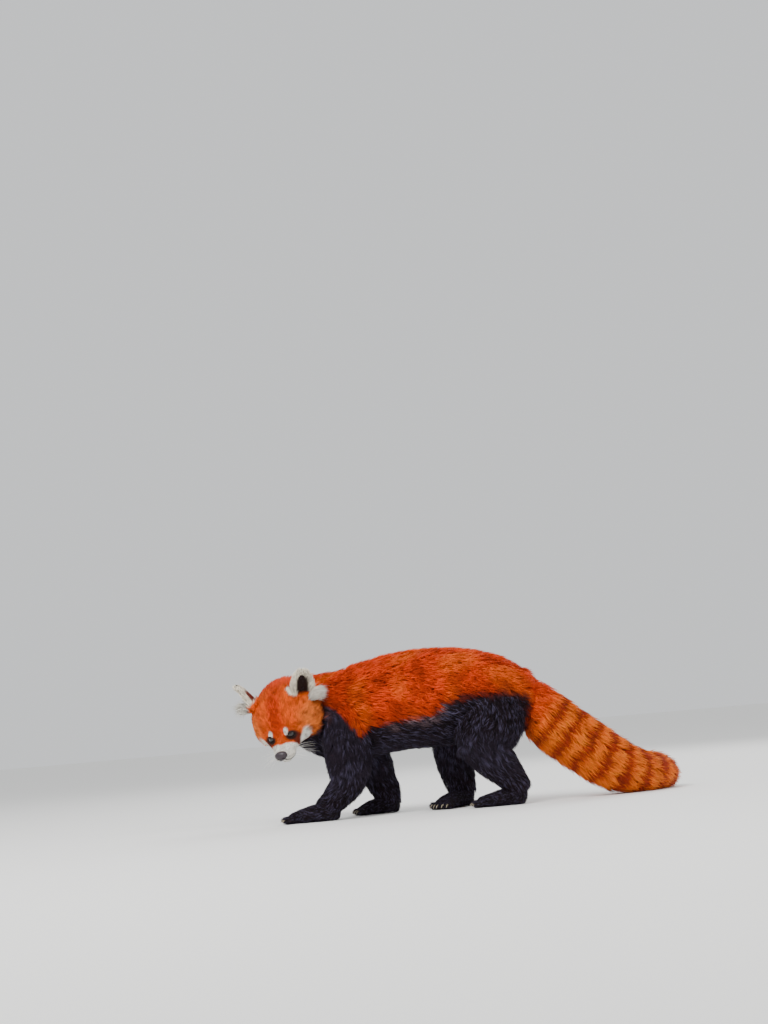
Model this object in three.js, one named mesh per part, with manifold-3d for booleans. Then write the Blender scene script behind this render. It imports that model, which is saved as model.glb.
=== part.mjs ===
// A life-size red panda walking, with its head lowered and turned to its left.
// Millimetres, +Z up. The animal faces -X, its left side is -Y, and its feet stand on z = 0.
// Each part of the body is its own closed solid, and neighbours keep a gap of 0.3 mm.

import * as THREE from "three";
import { mergeVertices } from "three/addons/utils/BufferGeometryUtils.js";
import Module from "manifold-3d";

// Driving dimensions
const GAP = 0.3;
const LEFT = -1;
const RIGHT = 1;
const CLAW_LENGTH = 11;
const CLAW_RADIUS = 2.2;
const EYE_RADIUS = 7.6;
const EYE_SPACING = 41;
const HEAD_PLACE = [-257, -75, 161];
const HEAD_HEADING = -103;
const HEAD_PITCH = 38;
const HEAD_ROLL = 11.5;

const COAT_CORE = -13;
const TAIL_CORE = -17;
const LOCK_RIDGE = 6.5;

const UP = new THREE.Vector3(0, 0, 1);
const FORWARD = new THREE.Vector3(-1, 0, 0);
const END_TURN = 1.42;
const radians = THREE.MathUtils.degToRad;

const wasm = await Module();
wasm.setup();

// Closed geometries to solids and back

function solidOf(geometry) {
  const bare = geometry.clone();
  bare.deleteAttribute("normal");
  bare.deleteAttribute("uv");
  const merged = mergeVertices(bare, 1e-4);
  const index = merged.index.array;
  const triangles = [];
  for (let i = 0; i < index.length; i += 3) {
    const [a, b, c] = [index[i], index[i + 1], index[i + 2]];
    if (a !== b && b !== c && c !== a) triangles.push(a, b, c);
  }
  const vertProperties = new Float32Array(merged.attributes.position.array);
  const triVerts = new Uint32Array(triangles);
  return new wasm.Manifold(new wasm.Mesh({ numProp: 3, vertProperties, triVerts }));
}

function geometryOf(solid) {
  const mesh = solid.getMesh();
  const geometry = new THREE.BufferGeometry();
  geometry.setAttribute("position", new THREE.BufferAttribute(mesh.vertProperties, 3));
  geometry.setIndex(new THREE.BufferAttribute(mesh.triVerts, 1));
  geometry.computeVertexNormals();
  return geometry;
}

function joined(solids) {
  return solids.reduce((whole, piece) => whole.add(piece));
}

// The largest closed surface of a solid, so that fused hollows and loose scraps are dropped.
function largest(solid) {
  const bodies = solid.decompose();
  return bodies.reduce((best, body) => (body.volume() > best.volume() ? body : best));
}

// A body form: elliptic rings along a smooth line, with rounded ends.
// Each section is [x, y, z, half width, height above the line, height below it].
function form(shape, grow = 0) {
  const { sections, upward = UP, sides = 16, steps = 8 } = shape;
  const { caps = [20, 20], capRings = 2, power = 2 } = shape;
  const line = new THREE.CatmullRomCurve3(sections.map(([x, y, z]) => new THREE.Vector3(x, y, z)));
  const sizes = new THREE.CatmullRomCurve3(
    sections.map(([, , , wide, above, below]) => new THREE.Vector3(wide, above, below)),
  );
  const length = line.getLength();

  // The ring at a distance along the line. Past either end it shrinks round the cap.
  function ring(distance) {
    const past = Math.max(-distance, distance - length, 0);
    const cap = (distance < 0 ? caps[0] : caps[1]) + grow;
    const turn = Math.min(past / cap, END_TURN);
    const t = line.getUtoTmapping(THREE.MathUtils.clamp(distance / length, 0, 1));
    const tangent = line.getTangent(t);
    const side = new THREE.Vector3().crossVectors(upward, tangent).normalize();
    const above = new THREE.Vector3().crossVectors(tangent, side);
    const centre = line.getPoint(t);
    centre.addScaledVector(tangent, Math.sign(distance) * cap * Math.sin(turn));
    const size = sizes.getPoint(t).addScalar(grow).multiplyScalar(Math.cos(turn));
    return { centre, side, above, size };
  }

  function bulge(value) {
    return Math.sign(value) * Math.abs(value) ** (2 / power);
  }

  // A point of the surface at a distance along the form and an angle round it, 90 degrees at its top.
  function at(distance, angle) {
    const { centre, side, above, size } = ring(distance);
    const across = bulge(Math.cos(angle)) * size.x;
    const height = Math.sin(angle) > 0 ? size.y : size.z;
    return centre
      .clone()
      .addScaledVector(side, across)
      .addScaledVector(above, bulge(Math.sin(angle)) * height);
  }

  function normal(distance, angle) {
    const along = at(distance + 1, angle).sub(at(distance - 1, angle));
    const round = at(distance, angle + 0.02).sub(at(distance, angle - 0.02));
    return round.cross(along).normalize();
  }

  function geometry() {
    const distances = [];
    for (let i = -capRings; i <= steps + capRings; i += 1) {
      const turn = (Math.max(-i, i - steps, 0) / capRings) * END_TURN;
      const start = -turn * (caps[0] + grow);
      const end = length + turn * (caps[1] + grow);
      distances.push(i < 0 ? start : i > steps ? end : (length * i) / steps);
    }
    const last = distances.length - 1;
    const tube = new THREE.CylinderGeometry(1, 1, 1, sides, last);
    const position = tube.attributes.position;
    for (let i = 0; i < position.count; i += 1) {
      const distance = distances[Math.round((0.5 - position.getY(i)) * last)];
      const [x, z] = [position.getX(i), position.getZ(i)];
      const onAxis = Math.hypot(x, z) < 1e-3;
      const point = onAxis ? ring(distance).centre : at(distance, Math.atan2(z, x));
      position.setXYZ(i, point.x, point.y, point.z);
    }
    return tube;
  }

  return { at, normal, length, geometry, solid: () => solidOf(geometry()) };
}

// Seeded draws, so that the coat varies and yet comes out the same each time.
function drawing(seed) {
  let state = seed;
  return (low, high) => {
    state = (Math.imul(state, 1664525) + 1013904223) >>> 0;
    return low + (high - low) * (state / 4294967296);
  };
}

// A flat, tapered lock of hair along a path of points, with its ridge on the outward side.
function lock(path, width, outward, grow = 0, ridge = LOCK_RIDGE) {
  const line = new THREE.CatmullRomCurve3(path);
  const rings = 2;
  const cone = new THREE.ConeGeometry(1, 1, 3, rings);
  const position = cone.attributes.position;
  for (let i = 0; i < position.count; i += 1) {
    const t = position.getY(i) + 0.5;
    const centre = line.getPoint(t);
    const along = line.getTangent(t);
    const side = new THREE.Vector3().crossVectors(along, outward).normalize();
    const over = new THREE.Vector3().crossVectors(side, along);
    const [x, z] = [position.getX(i), position.getZ(i)];
    const reach = Math.hypot(x, z);
    const taper = t > 0.98 ? 0 : 0.8 + 0.75 * t - 1.25 * t * t;
    const lastStep = line.getPoint(1).sub(line.getPoint(1 - 1 / rings)).normalize();
    if (t > 0.98) centre.addScaledVector(lastStep, grow * 12);
    if (t < 0.02) centre.addScaledVector(along, -grow * 3);
    if (reach > 1e-3 && taper > 0) {
      centre.addScaledVector(side, (x / reach) * (width * 0.56 * taper + grow * 6.5));
      centre.addScaledVector(over, (z / reach) * (ridge * (1 - 0.7 * t) + grow * 2.2));
    }
    position.setXYZ(i, centre.x, centre.y, centre.z);
  }
  return solidOf(cone);
}

// A lock that is rooted in a form and lies along it. The heights of its path are taken from
// the form's surface, and it turns round the form by `turn` on its way.
function lockOn(body, { distance, angle, length, turn, width, heights }, grow = 0) {
  const path = heights.map((height, i) => {
    const share = i / (heights.length - 1);
    const [d, a] = [distance + length * share, angle + turn * share];
    return body.at(d, a).addScaledVector(body.normal(d, a), height);
  });
  return lock(path, width, body.normal(distance + length / 2, angle + turn / 2), grow);
}

// Tiers of overlapping locks over a form, each tier half a lock round from the one before.
function coatOf(body, coat, grow = 0) {
  const { seed, from, to, tiers, count, length, width, heights } = coat;
  const { arc = [0, 360], droop = 0 } = coat;
  const draw = drawing(seed);
  const locks = [];
  for (let tier = 0; tier < tiers; tier += 1) {
    const middle = tiers > 1 ? from + ((to - from) * tier) / (tiers - 1) : from;
    for (let i = 0; i < count; i += 1) {
      const share = (i + (tier % 2) / 2 + draw(-0.15, 0.15)) / count;
      const angle = radians(arc[0] + (arc[1] - arc[0]) * share);
      const distance = middle + draw(-0.12, 0.12) * length;
      const turn = -droop * Math.cos(angle);
      const size = draw(0.88, 1.1);
      const shape = { distance, angle, turn, length: length * size, width: width * size, heights };
      locks.push(lockOn(body, shape, grow));
    }
  }
  return locks;
}

function ball([x, y, z], [rx, ry, rz], grow, sides) {
  const shape = new THREE.SphereGeometry(1, sides, Math.round(sides * 0.6));
  shape.scale(rx + grow, ry + grow, rz + grow);
  shape.translate(x, y, z);
  return solidOf(shape);
}

// A round rod along a smooth line of points, closed at both ends.
function rod(points, radius, { closed = false, steps = 16, sides = 8 } = {}) {
  const line = new THREE.CatmullRomCurve3(points.map((p) => new THREE.Vector3(...p)), closed);
  const section = new THREE.Shape();
  section.absarc(0, 0, radius, 0, Math.PI * 2);
  const options = { steps, curveSegments: sides / 2, extrudePath: line };
  return solidOf(new THREE.ExtrudeGeometry(section, options));
}

function mirrored([x, y, z], side) {
  return [x, y * side, z];
}

// Everything below the floor is cut off, which leaves the small flats that the animal stands on.
const underground = solidOf(new THREE.BoxGeometry(1400, 800, 200).translate(0, 0, -100));

function standing(solid) {
  return solid.subtract(underground);
}

// Torso

const TORSO = {
  sections: [
    [-160, 0, 185, 55, 76, 76],
    [-130, 0, 188, 67, 89, 89],
    [-85, 0, 192, 74, 96, 86],
    [-30, 0, 197, 78, 101, 85],
    [30, 0, 197, 79, 103, 85],
    [85, 0, 195, 77, 99, 81],
    [135, 0, 192, 70, 87, 73],
    [175, 0, 186, 58, 69, 60],
  ],
  sides: 16,
  steps: 8,
  caps: [30, 44],
  power: 2.15,
};
const TORSO_COAT = {
  seed: 11,
  from: 12,
  to: 304,
  tiers: 5,
  count: 7,
  length: 108,
  width: 80,
  droop: 0.34,
  heights: [-19, -5.5, -1, -2],
};

function torsoCore(grow = 0) {
  return form(TORSO, COAT_CORE + grow).solid();
}

function torsoLocks() {
  return joined(coatOf(form(TORSO), TORSO_COAT));
}

// Neck

const NECK = {
  sections: [
    [-138, 0, 189, 60, 82, 84],
    [-170, 3, 194, 57, 76, 76],
    [-202, 6, 204, 54, 65, 68],
    [-232, -2, 213, 50, 53, 58],
    [-250, -24, 208, 44, 44, 50],
  ],
  sides: 12,
  steps: 3,
  caps: [20, 22],
};
const NECK_COAT = {
  seed: 5,
  from: 74,
  to: 50,
  tiers: 2,
  count: 6,
  length: -52,
  width: 50,
  heights: [-15, -4, 0],
};

function neck(grow = 0) {
  const core = form(NECK, -9 + grow).solid();
  return joined([core, ...coatOf(form(NECK), NECK_COAT, grow)]);
}

// Tail, in four lengths

const TAIL_SECTIONS = [
  [174, 0, 198, 46, 54, 46],
  [212, 0, 166, 48, 53, 48],
  [262, 2, 123, 50, 53, 52],
  [312, 7, 83, 49, 52, 52],
  [356, 18, 55, 46, 47, 50],
  [395, 37, 40, 41, 40, 41],
  [428, 66, 34, 37, 36, 35.5],
  [450, 102, 29, 32, 31, 30.5],
  [460, 142, 24, 27, 26, 25.5],
];

const TAIL_CUTS = [0.27, 0.52, 0.77];
const TAIL_COAT = { seed: 29, tiers: 2, count: 5, length: 68, width: 62, droop: 0.15 };
const TAIL_HEIGHTS = [-22, -7, -2, -1];

function tail(grow = 0) {
  const shape = { sections: TAIL_SECTIONS, sides: 10, steps: 12, caps: [20, 28] };
  return form(shape, grow);
}

// The half of space beyond a share of the tail's length.
function beyond(share, shift = 0) {
  const line = new THREE.CatmullRomCurve3(TAIL_SECTIONS.map(([x, y, z]) => new THREE.Vector3(x, y, z)));
  const along = line.getTangentAt(share);
  const block = new THREE.BoxGeometry(600, 600, 600);
  block.translate(300 + shift, 0, 0);
  block.applyQuaternion(new THREE.Quaternion().setFromUnitVectors(new THREE.Vector3(1, 0, 0), along));
  block.translate(...line.getPointAt(share).toArray());
  return solidOf(block);
}

// One length of the tail, from its first cut to its last, with the locks that root in it.
function tailLength(i, grow = 0) {
  const whole = tail();
  const [start, end] = [TAIL_CUTS[i - 1] ?? 0, TAIL_CUTS[i] ?? 1];
  let core = tail(TAIL_CORE + grow).solid();
  if (i > 0) core = core.intersect(beyond(start, GAP - grow));
  if (i < TAIL_CUTS.length) core = core.subtract(beyond(end, grow));
  const from = whole.length * start + (i > 0 ? 6 : 14);
  const to = whole.length * (start + end) * 0.5 + 6;
  const span = { from, to, heights: TAIL_HEIGHTS, seed: TAIL_COAT.seed + i };
  return joined([core, ...coatOf(whole, { ...TAIL_COAT, ...span }, grow)]);
}

// Legs. Their forms run down the leg, so that the height above the line is to the front.

const LEGS = {
  fore_left: {
    side: LEFT,
    upper: [
      [-140, -36, 192, 26, 40, 40],
      [-141, -47, 152, 30, 42, 42],
      [-140, -55, 114, 29, 41, 41],
      [-143, -57, 84, 26, 35, 38],
    ],
    lower: [
      [-141, -57, 94, 27, 36, 38],
      [-148, -57, 68, 24.5, 29, 33],
      [-168, -54, 44, 22, 22, 26],
      [-186, -52, 28, 20, 18, 20],
    ],
    paw: [
      [-176, -52, 15, 21, 17, 16],
      [-202, -51, 16, 25, 16, 17],
      [-228, -50, 13, 26, 13, 14],
      [-247, -49, 10, 21, 10, 11],
    ],
    toward: [-1, 0.05],
    toes: [-258, -49],
  },
  fore_right: {
    side: RIGHT,
    upper: [
      [-132, 36, 192, 26, 40, 40],
      [-123, 47, 152, 30, 42, 42],
      [-108, 55, 114, 28, 37, 38],
      [-96, 56, 84, 24, 31, 33],
    ],
    lower: [
      [-99, 56, 92, 25, 32, 34],
      [-89, 54, 64, 23, 28, 29],
      [-80, 50, 42, 21.5, 25, 26],
      [-76, 48, 26, 20, 22, 22],
    ],
    paw: [
      [-68, 48, 15, 21, 17, 16],
      [-88, 47, 16, 24, 16, 17],
      [-108, 45, 13, 25, 13, 14],
      [-122, 43, 10, 21, 10, 11],
    ],
    toward: [-0.99, -0.12],
    toes: [-131, 42],
  },
  hind_left: {
    side: LEFT,
    upper: [
      [124, -34, 205, 28, 56, 56],
      [120, -46, 168, 35, 58, 68],
      [108, -57, 134, 36, 52, 66],
      [102, -61, 108, 31, 40, 54],
    ],
    lower: [
      [94, -62, 122, 31, 38, 46],
      [119, -62, 86, 28, 33, 46],
      [146, -58, 58, 25, 27, 30],
      [164, -54, 34, 22, 22, 22],
    ],
    paw: [
      [166, -52, 17, 20, 17, 18],
      [140, -50, 16, 22, 15, 17],
      [118, -48, 13, 25, 12, 14],
      [99, -46, 10, 21, 10, 11],
    ],
    toward: [-0.99, 0.1],
    toes: [90, -45],
  },
  hind_right: {
    side: RIGHT,
    upper: [
      [96, 34, 205, 28, 55, 55],
      [82, 46, 168, 34, 54, 60],
      [66, 57, 134, 34, 45, 54],
      [54, 60, 108, 30, 37, 42],
    ],
    lower: [
      [52, 60, 120, 30, 35, 40],
      [54, 60, 86, 27, 33, 35],
      [60, 57, 56, 24, 30, 30],
      [65, 53, 32, 22, 25, 24],
    ],
    paw: [
      [68, 50, 17, 20, 17, 18],
      [52, 32, 16, 22, 15, 17],
      [38, 15, 13, 25, 12, 14],
      [28, 3, 10, 21, 10, 11],
    ],
    toward: [-0.62, -0.78],
    toes: [22, -4],
  },
};

function upperLeg(leg, grow = 0) {
  const shape = { sections: leg.upper, upward: FORWARD, sides: 12, steps: 4, caps: [24, 22] };
  return form(shape, grow).solid();
}

// Longer hair trails from the back of each lower leg.
const FEATHERS = { tiers: 2, count: 2, arc: [225, 315], length: 40, width: 26, heights: [-5, 1, 3] };

function lowerLeg(leg, grow = 0) {
  const shape = { sections: leg.lower, upward: FORWARD, sides: 12, steps: 4, caps: [16, 14] };
  const body = form(shape);
  const feathers = { ...FEATHERS, seed: 41, from: body.length * 0.3, to: body.length * 0.52 };
  return joined([form(shape, grow).solid(), ...coatOf(body, feathers, grow)]);
}

// The paw's pad and toes, with a claw on each toe.
function paw(leg, grow = 0) {
  const sole = form({ sections: leg.paw, sides: 10, steps: 3, caps: [14, 10], power: 2.3 }, grow);
  const ahead = new THREE.Vector3(...leg.toward, 0).normalize();
  const across = new THREE.Vector3(-ahead.y, ahead.x, 0);
  const pieces = [sole.solid()];
  for (let i = -2; i <= 2; i += 1) {
    const reach = 4 - Math.abs(i) * 3.2;
    const root = new THREE.Vector3(...leg.toes, 0).addScaledVector(across, i * 9.2);
    root.addScaledVector(ahead, reach);
    const step = (forward, z) => {
      const p = root.clone().addScaledVector(ahead, forward);
      return [p.x, p.y, z];
    };
    const toe = [
      [...step(-14, 11), 5.4, 7, 8],
      [...step(-4, 9.5), 5.6, 7, 8],
      [...step(4, 7.5), 5, 5.6, 7],
    ];
    pieces.push(form({ sections: toe, sides: 5, steps: 1, caps: [6, 5], capRings: 1 }, grow).solid());
    const claw = [
      [...step(2, 9.5), CLAW_RADIUS, CLAW_RADIUS, CLAW_RADIUS],
      [...step(2 + CLAW_LENGTH * 0.6, 8), CLAW_RADIUS * 0.8, CLAW_RADIUS * 0.8, CLAW_RADIUS],
      [...step(2 + CLAW_LENGTH, 3.2), 0.5, 0.5, 0.6],
    ];
    pieces.push(form({ sections: claw, sides: 4, steps: 1, caps: [1, 0.5], capRings: 1 }, grow).solid());
  }
  return joined(pieces);
}

// Head, in its own frame: x forward, y to its left, z up, from the middle between the eyes.

const HEAD_FORM = [
  [-104, 0, 4, 50, 50, 37],
  [-90, 0, 3, 59, 55, 43],
  [-72, 0, 1, 65, 57, 47],
  [-50, 0, 0, 66, 54, 46],
  [-32, 0, -3, 61, 47, 43],
  [-17, 0, -7, 54, 37, 36],
  [-5, 0, -11, 41, 25, 29],
  [8, 0, -16, 30, 17.5, 23],
  [22, 0, -18.5, 23, 13.5, 18],
  [35, 0, -20, 17.5, 11, 14.5],
];
const CHEEKS = [
  { centre: [-35, 39, -19], radii: [26, 23, 24] },
  { centre: [-41, -42, -8], radii: [25, 23, 23] },
];
const EARS = [
  { name: "left", side: 1, base: [-58, 46, 32], tip: [-73, 64, 81], outward: 34 },
  { name: "right", side: -1, base: [-62, -54, 39], tip: [-74, -73, 84], outward: 62 },
];
const RUFF = {
  seed: 3,
  from: 82,
  to: 66,
  tiers: 2,
  count: 3,
  length: -44,
  width: 28,
  droop: 0.2,
  heights: [-6, 5, 9],
};
const NOSE = { centre: [40, 0, -15.5], radii: [8, 11, 7.5] };
const MOUTH_LINE = [
  [43, 0, -30],
  [38, 9, -30],
  [28, 16, -29.5],
  [16, 20.5, -28.5],
  [5, 23.5, -27],
];

function eyeAxis(side) {
  return new THREE.Vector3(0.86, 0.46 * side, 0.2).normalize();
}

function eyeCentre(side, inward) {
  const surface = new THREE.Vector3(5, (EYE_SPACING / 2) * side, 1);
  return surface.addScaledVector(eyeAxis(side), -inward).toArray();
}

function lids(side) {
  const axis = eyeAxis(side);
  const across = new THREE.Vector3().crossVectors(UP, axis).normalize();
  const over = new THREE.Vector3().crossVectors(axis, across);
  const centre = new THREE.Vector3(...eyeCentre(side, 0.4));
  const points = [];
  for (let i = 0; i < 12; i += 1) {
    const turn = (i / 12) * Math.PI * 2;
    const p = centre.clone();
    p.addScaledVector(across, Math.cos(turn) * 7.6).addScaledVector(over, Math.sin(turn) * 5.6);
    p.addScaledVector(axis, -2.2 * Math.cos(turn) ** 2);
    points.push(p.toArray());
  }
  return rod(points, 2, { closed: true, steps: 12, sides: 4 });
}

function headWhole(grow = 0) {
  const skull = form({ sections: HEAD_FORM, sides: 18, steps: 9, caps: [14, 7], power: 2.1 }, grow);
  const pieces = [skull.solid()];
  for (const side of [LEFT, RIGHT]) {
    pieces.push(ball(mirrored([22, 10, -24], side), [17, 12.5, 11], grow, 12));
    if (grow === 0) pieces.push(lids(side));
  }
  const body = form({ sections: HEAD_FORM, caps: [14, 7] });
  pieces.push(...coatOf(body, { ...RUFF, arc: [-68, 4] }, grow));
  pieces.push(...coatOf(body, { ...RUFF, arc: [176, 248] }, grow));
  for (const { centre, radii } of CHEEKS) pieces.push(ball(centre, radii, grow, 12));
  pieces.push(ball([18, 0, -33], [18, 14, 9], grow, 12));
  if (grow === 0) {
    const rightLip = MOUTH_LINE.slice(1).map((p) => mirrored(p, RIGHT)).reverse();
    const leftLip = MOUTH_LINE.map((p) => mirrored(p, LEFT));
    pieces.push(rod([...rightLip, ...leftLip], 2, { steps: 10, sides: 4 }));
  }
  return joined(pieces);
}

// The space of the lower jaw, below the line of the mouth.
function jawSpace(grow = 0) {
  const profile = new THREE.Shape([
    new THREE.Vector2(60, -30 + grow),
    new THREE.Vector2(28, -29.5 + grow),
    new THREE.Vector2(2 - grow, -27 + grow),
    new THREE.Vector2(-8 - grow, -36 + grow),
    new THREE.Vector2(-14 - grow, -70),
    new THREE.Vector2(60, -70),
  ]);
  const block = new THREE.ExtrudeGeometry(profile, { depth: 90, bevelEnabled: false });
  block.rotateX(Math.PI / 2);
  block.translate(0, 45, 0);
  return solidOf(block);
}

function nosePad(grow = 0) {
  return ball(NOSE.centre, NOSE.radii, grow, 12);
}

function nostrils() {
  const pair = [LEFT, RIGHT].map((side) => {
    const path = [[52, 3.5, -17], [45, 4.6, -16.5], [42, 9, -15.5], [42, 13, -15.5]];
    return rod(path.map((p) => mirrored(p, side)), 1.9, { steps: 4, sides: 6 });
  });
  return joined(pair);
}

// An ear's shell and its cup, which opens forward and outward.
function ear({ side, base, tip, outward }, grow = 0) {
  const root = new THREE.Vector3(...base);
  const rise = new THREE.Vector3(...tip).sub(root);
  const facing = new THREE.Vector3(Math.cos(radians(outward)), Math.sin(radians(outward)) * side, 0);
  facing.addScaledVector(rise, -facing.dot(rise) / rise.lengthSq()).normalize();
  const step = (share, out) => {
    return root.clone().addScaledVector(rise, share).addScaledVector(facing, out).toArray();
  };
  const shell = [
    [...step(-0.1, 0), 25, 13, 13],
    [...step(0.2, 0), 26.5, 12, 12],
    [...step(0.45, 0), 24.5, 11, 10.5],
    [...step(0.7, -1), 21, 9, 9],
    [...step(0.87, -2), 16, 7, 7.5],
  ];
  const cup = [
    [...step(0.1, 9), 13, 12, 9],
    [...step(0.3, 9), 16.5, 12, 11.5],
    [...step(0.5, 9), 15.5, 12, 11],
    [...step(0.74, 9), 11, 10, 8],
  ];
  const body = form({ sections: shell, upward: facing, sides: 12, steps: 4, caps: [6, 10] }, grow);
  const tuft = joined(earTuft(side, root, grow));
  if (grow > 0) return body.solid().add(tuft);
  const hollow = form({ sections: cup, upward: facing, sides: 10, steps: 3, caps: [8, 7] });
  return body.solid().subtract(hollow.solid()).add(tuft);
}

// The long white tuft that hangs from the outer corner of an ear's base.
function earTuft(side, root, grow) {
  const draw = drawing(17);
  const outward = new THREE.Vector3(0.3, 0.9 * side, 0.2).normalize();
  return [-1.5, -0.5, 0.5, 1.5].map((place) => {
    const start = root.clone().add(new THREE.Vector3(place * 6 - 2, 9 * side, -2));
    const middle = start.clone().add(new THREE.Vector3(place * 2 - 5, 19 * side, -6));
    const end = middle.clone().add(new THREE.Vector3(place * 2 - 8, draw(6, 9) * side, draw(-20, -15)));
    return lock([start, middle, end], 15, outward, grow, 4.5);
  });
}

// Materials

function finish(hex, roughness) {
  return new THREE.MeshStandardMaterial({ color: hex, roughness, metalness: 0 });
}

const rustFur = finish("#a8401a", 0.85);
const blackFur = finish("#1d1518", 0.8);
const creamFur = finish("#e6ded0", 0.85);
const orangeFur = finish("#c4581f", 0.85);
const noseSkin = finish("#1a1516", 0.45);
const eyeGloss = finish("#0e0806", 0.1);

// Assembly

const animal = new THREE.Group();
const head = new THREE.Group();
head.position.set(...HEAD_PLACE);
head.rotation.set(radians(HEAD_ROLL), radians(HEAD_PITCH), radians(HEAD_HEADING), "ZYX");
head.updateMatrix();
animal.add(head);

function addMesh(parent, name, solid, material) {
  const mesh = new THREE.Mesh(geometryOf(largest(solid)), material);
  mesh.name = name;
  parent.add(mesh);
}

function inBodyFrame(solid) {
  return solidOf(geometryOf(solid).applyMatrix4(head.matrix));
}

// Head and its parts
const eyeHollows = joined([LEFT, RIGHT].map((side) => {
  return ball(eyeCentre(side, 4.2), [EYE_RADIUS, EYE_RADIUS, EYE_RADIUS], GAP, 12);
}));
const headClear = headWhole(GAP);
const skull = headWhole().subtract(nosePad(GAP)).subtract(eyeHollows);
addMesh(head, "head", skull.subtract(jawSpace(GAP * 3)), orangeFur);
addMesh(head, "jaw", skull.intersect(jawSpace()), creamFur);
addMesh(head, "nose", nosePad().subtract(nostrils()), noseSkin);
for (const shape of EARS) {
  const eyeball = ball(eyeCentre(shape.side, 4.2), [EYE_RADIUS, EYE_RADIUS, EYE_RADIUS], 0, 12);
  addMesh(head, `eye_${shape.name}`, eyeball, eyeGloss);
  addMesh(head, `ear_${shape.name}`, ear(shape).subtract(headClear), creamFur);
}

// Neck, torso and tail
const torsoClear = torsoCore(GAP);
const headCut = inBodyFrame(joined([headClear, ...EARS.map((shape) => ear(shape, GAP))]));
const shoulders = joined([upperLeg(LEGS.fore_left, GAP), upperLeg(LEGS.fore_right, GAP)]);
const haunches = joined([upperLeg(LEGS.hind_left, GAP), upperLeg(LEGS.hind_right, GAP)]);
const shanks = joined([lowerLeg(LEGS.hind_left, GAP), lowerLeg(LEGS.hind_right, GAP)]);
const locksCut = joined([neck(GAP), shoulders, haunches, shanks, tailLength(0, GAP)]);
const coat = torsoLocks().subtract(locksCut);
addMesh(animal, "torso", torsoCore().add(coat).subtract(headCut), rustFur);
const neckSolid = neck().subtract(torsoClear).subtract(headCut).subtract(shoulders);
addMesh(animal, "neck", neckSolid, blackFur);

["root", "middle", "end", "tip"].forEach((name, i) => {
  let piece = standing(tailLength(i));
  if (i < TAIL_CUTS.length) piece = piece.subtract(tailLength(i + 1, GAP));
  if (i === 0) piece = piece.subtract(torsoClear).subtract(haunches);
  addMesh(animal, `tail_${name}`, piece, rustFur);
});

// Legs
for (const [name, leg] of Object.entries(LEGS)) {
  const pawSolid = standing(paw(leg));
  const pawClear = paw(leg, GAP);
  const lower = standing(lowerLeg(leg)).subtract(pawClear);
  const upper = upperLeg(leg).subtract(lowerLeg(leg, GAP)).subtract(torsoClear).subtract(headCut);
  addMesh(animal, `${name}_upper`, upper, blackFur);
  addMesh(animal, `${name}_lower`, lower.subtract(torsoClear), blackFur);
  addMesh(animal, `${name}_paw`, pawSolid, blackFur);
}

// The origin is on the floor, below the middle of the whole animal.
const extent = new THREE.Box3().setFromObject(animal, true);
const middle = extent.getCenter(new THREE.Vector3());
animal.position.set(-middle.x, -middle.y, -extent.min.z);

export default animal;
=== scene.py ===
"""Red panda: a life-size animal with a solid-mesh coat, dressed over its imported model.

Laid out as an add-on and run as a script. Each operator builds one piece, or one group of like pieces.
"""

import math

import bmesh
import bpy
import numpy as np
from bpy.props import FloatProperty, FloatVectorProperty, IntProperty
from mathutils import Matrix, Vector
from mathutils.bvhtree import BVHTree


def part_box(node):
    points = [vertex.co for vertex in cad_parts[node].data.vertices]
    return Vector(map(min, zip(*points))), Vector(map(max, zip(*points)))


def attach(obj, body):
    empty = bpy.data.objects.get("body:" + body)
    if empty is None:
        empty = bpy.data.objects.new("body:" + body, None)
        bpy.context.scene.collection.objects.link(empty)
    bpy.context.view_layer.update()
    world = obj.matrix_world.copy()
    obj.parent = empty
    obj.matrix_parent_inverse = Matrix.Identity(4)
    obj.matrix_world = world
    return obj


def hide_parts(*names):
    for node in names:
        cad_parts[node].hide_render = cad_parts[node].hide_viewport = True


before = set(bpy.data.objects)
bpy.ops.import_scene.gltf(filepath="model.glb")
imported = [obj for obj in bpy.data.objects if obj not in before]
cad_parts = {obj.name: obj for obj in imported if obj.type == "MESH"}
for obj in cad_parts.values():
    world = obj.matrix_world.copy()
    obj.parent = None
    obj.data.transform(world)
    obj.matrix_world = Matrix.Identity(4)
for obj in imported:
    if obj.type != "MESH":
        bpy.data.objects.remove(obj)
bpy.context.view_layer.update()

bl_info = {
    "name": "Red Panda",
    "version": (1, 0, 0),
    "blender": (4, 5, 0),
    "location": "3D View > Sidebar > Red Panda",
    "description": "Builds a red panda with skin, coat, eyes, nose, claws and whiskers",
    "category": "Object",
}

# The body's tables are in millimetres in the animal's own layout: it faces -X, its left side is -Y,
# and z = 0 is the floor. The head's tables are in the head's frame: x forward, y to its left, z up.
HEAD_PLACE = np.array([-257.0, -75.0, 161.0])
HEAD_TURN = (
    Matrix.Rotation(math.radians(-103), 3, "Z")
    @ Matrix.Rotation(math.radians(38), 3, "Y")
    @ Matrix.Rotation(math.radians(11.5), 3, "X")
)
HEAD_AXES = np.array(HEAD_TURN)
UP = (0.0, 0.0, 1.0)
FORWARD = (-1.0, 0.0, 0.0)

# The left eye, in the head's frame: the right one is its mirror image.
EYE_RADIUS = 7.6
EYE_OPENING = np.array([5.0, 20.5, 1.0])
EYE_LOOK = np.array([0.86, 0.46, 0.2])
EYE_SET_BACK = 4.2


def eye_axis(side):
    """The way an eye looks: side is 1 for the left eye and -1 for the right one."""
    axis = EYE_LOOK * [1, side, 1]
    return axis / np.linalg.norm(axis)


def eye_centre(side):
    """The middle of an eyeball, which lies back from the opening of its lids."""
    return EYE_OPENING * [1, side, 1] - EYE_SET_BACK * eye_axis(side)


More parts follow.
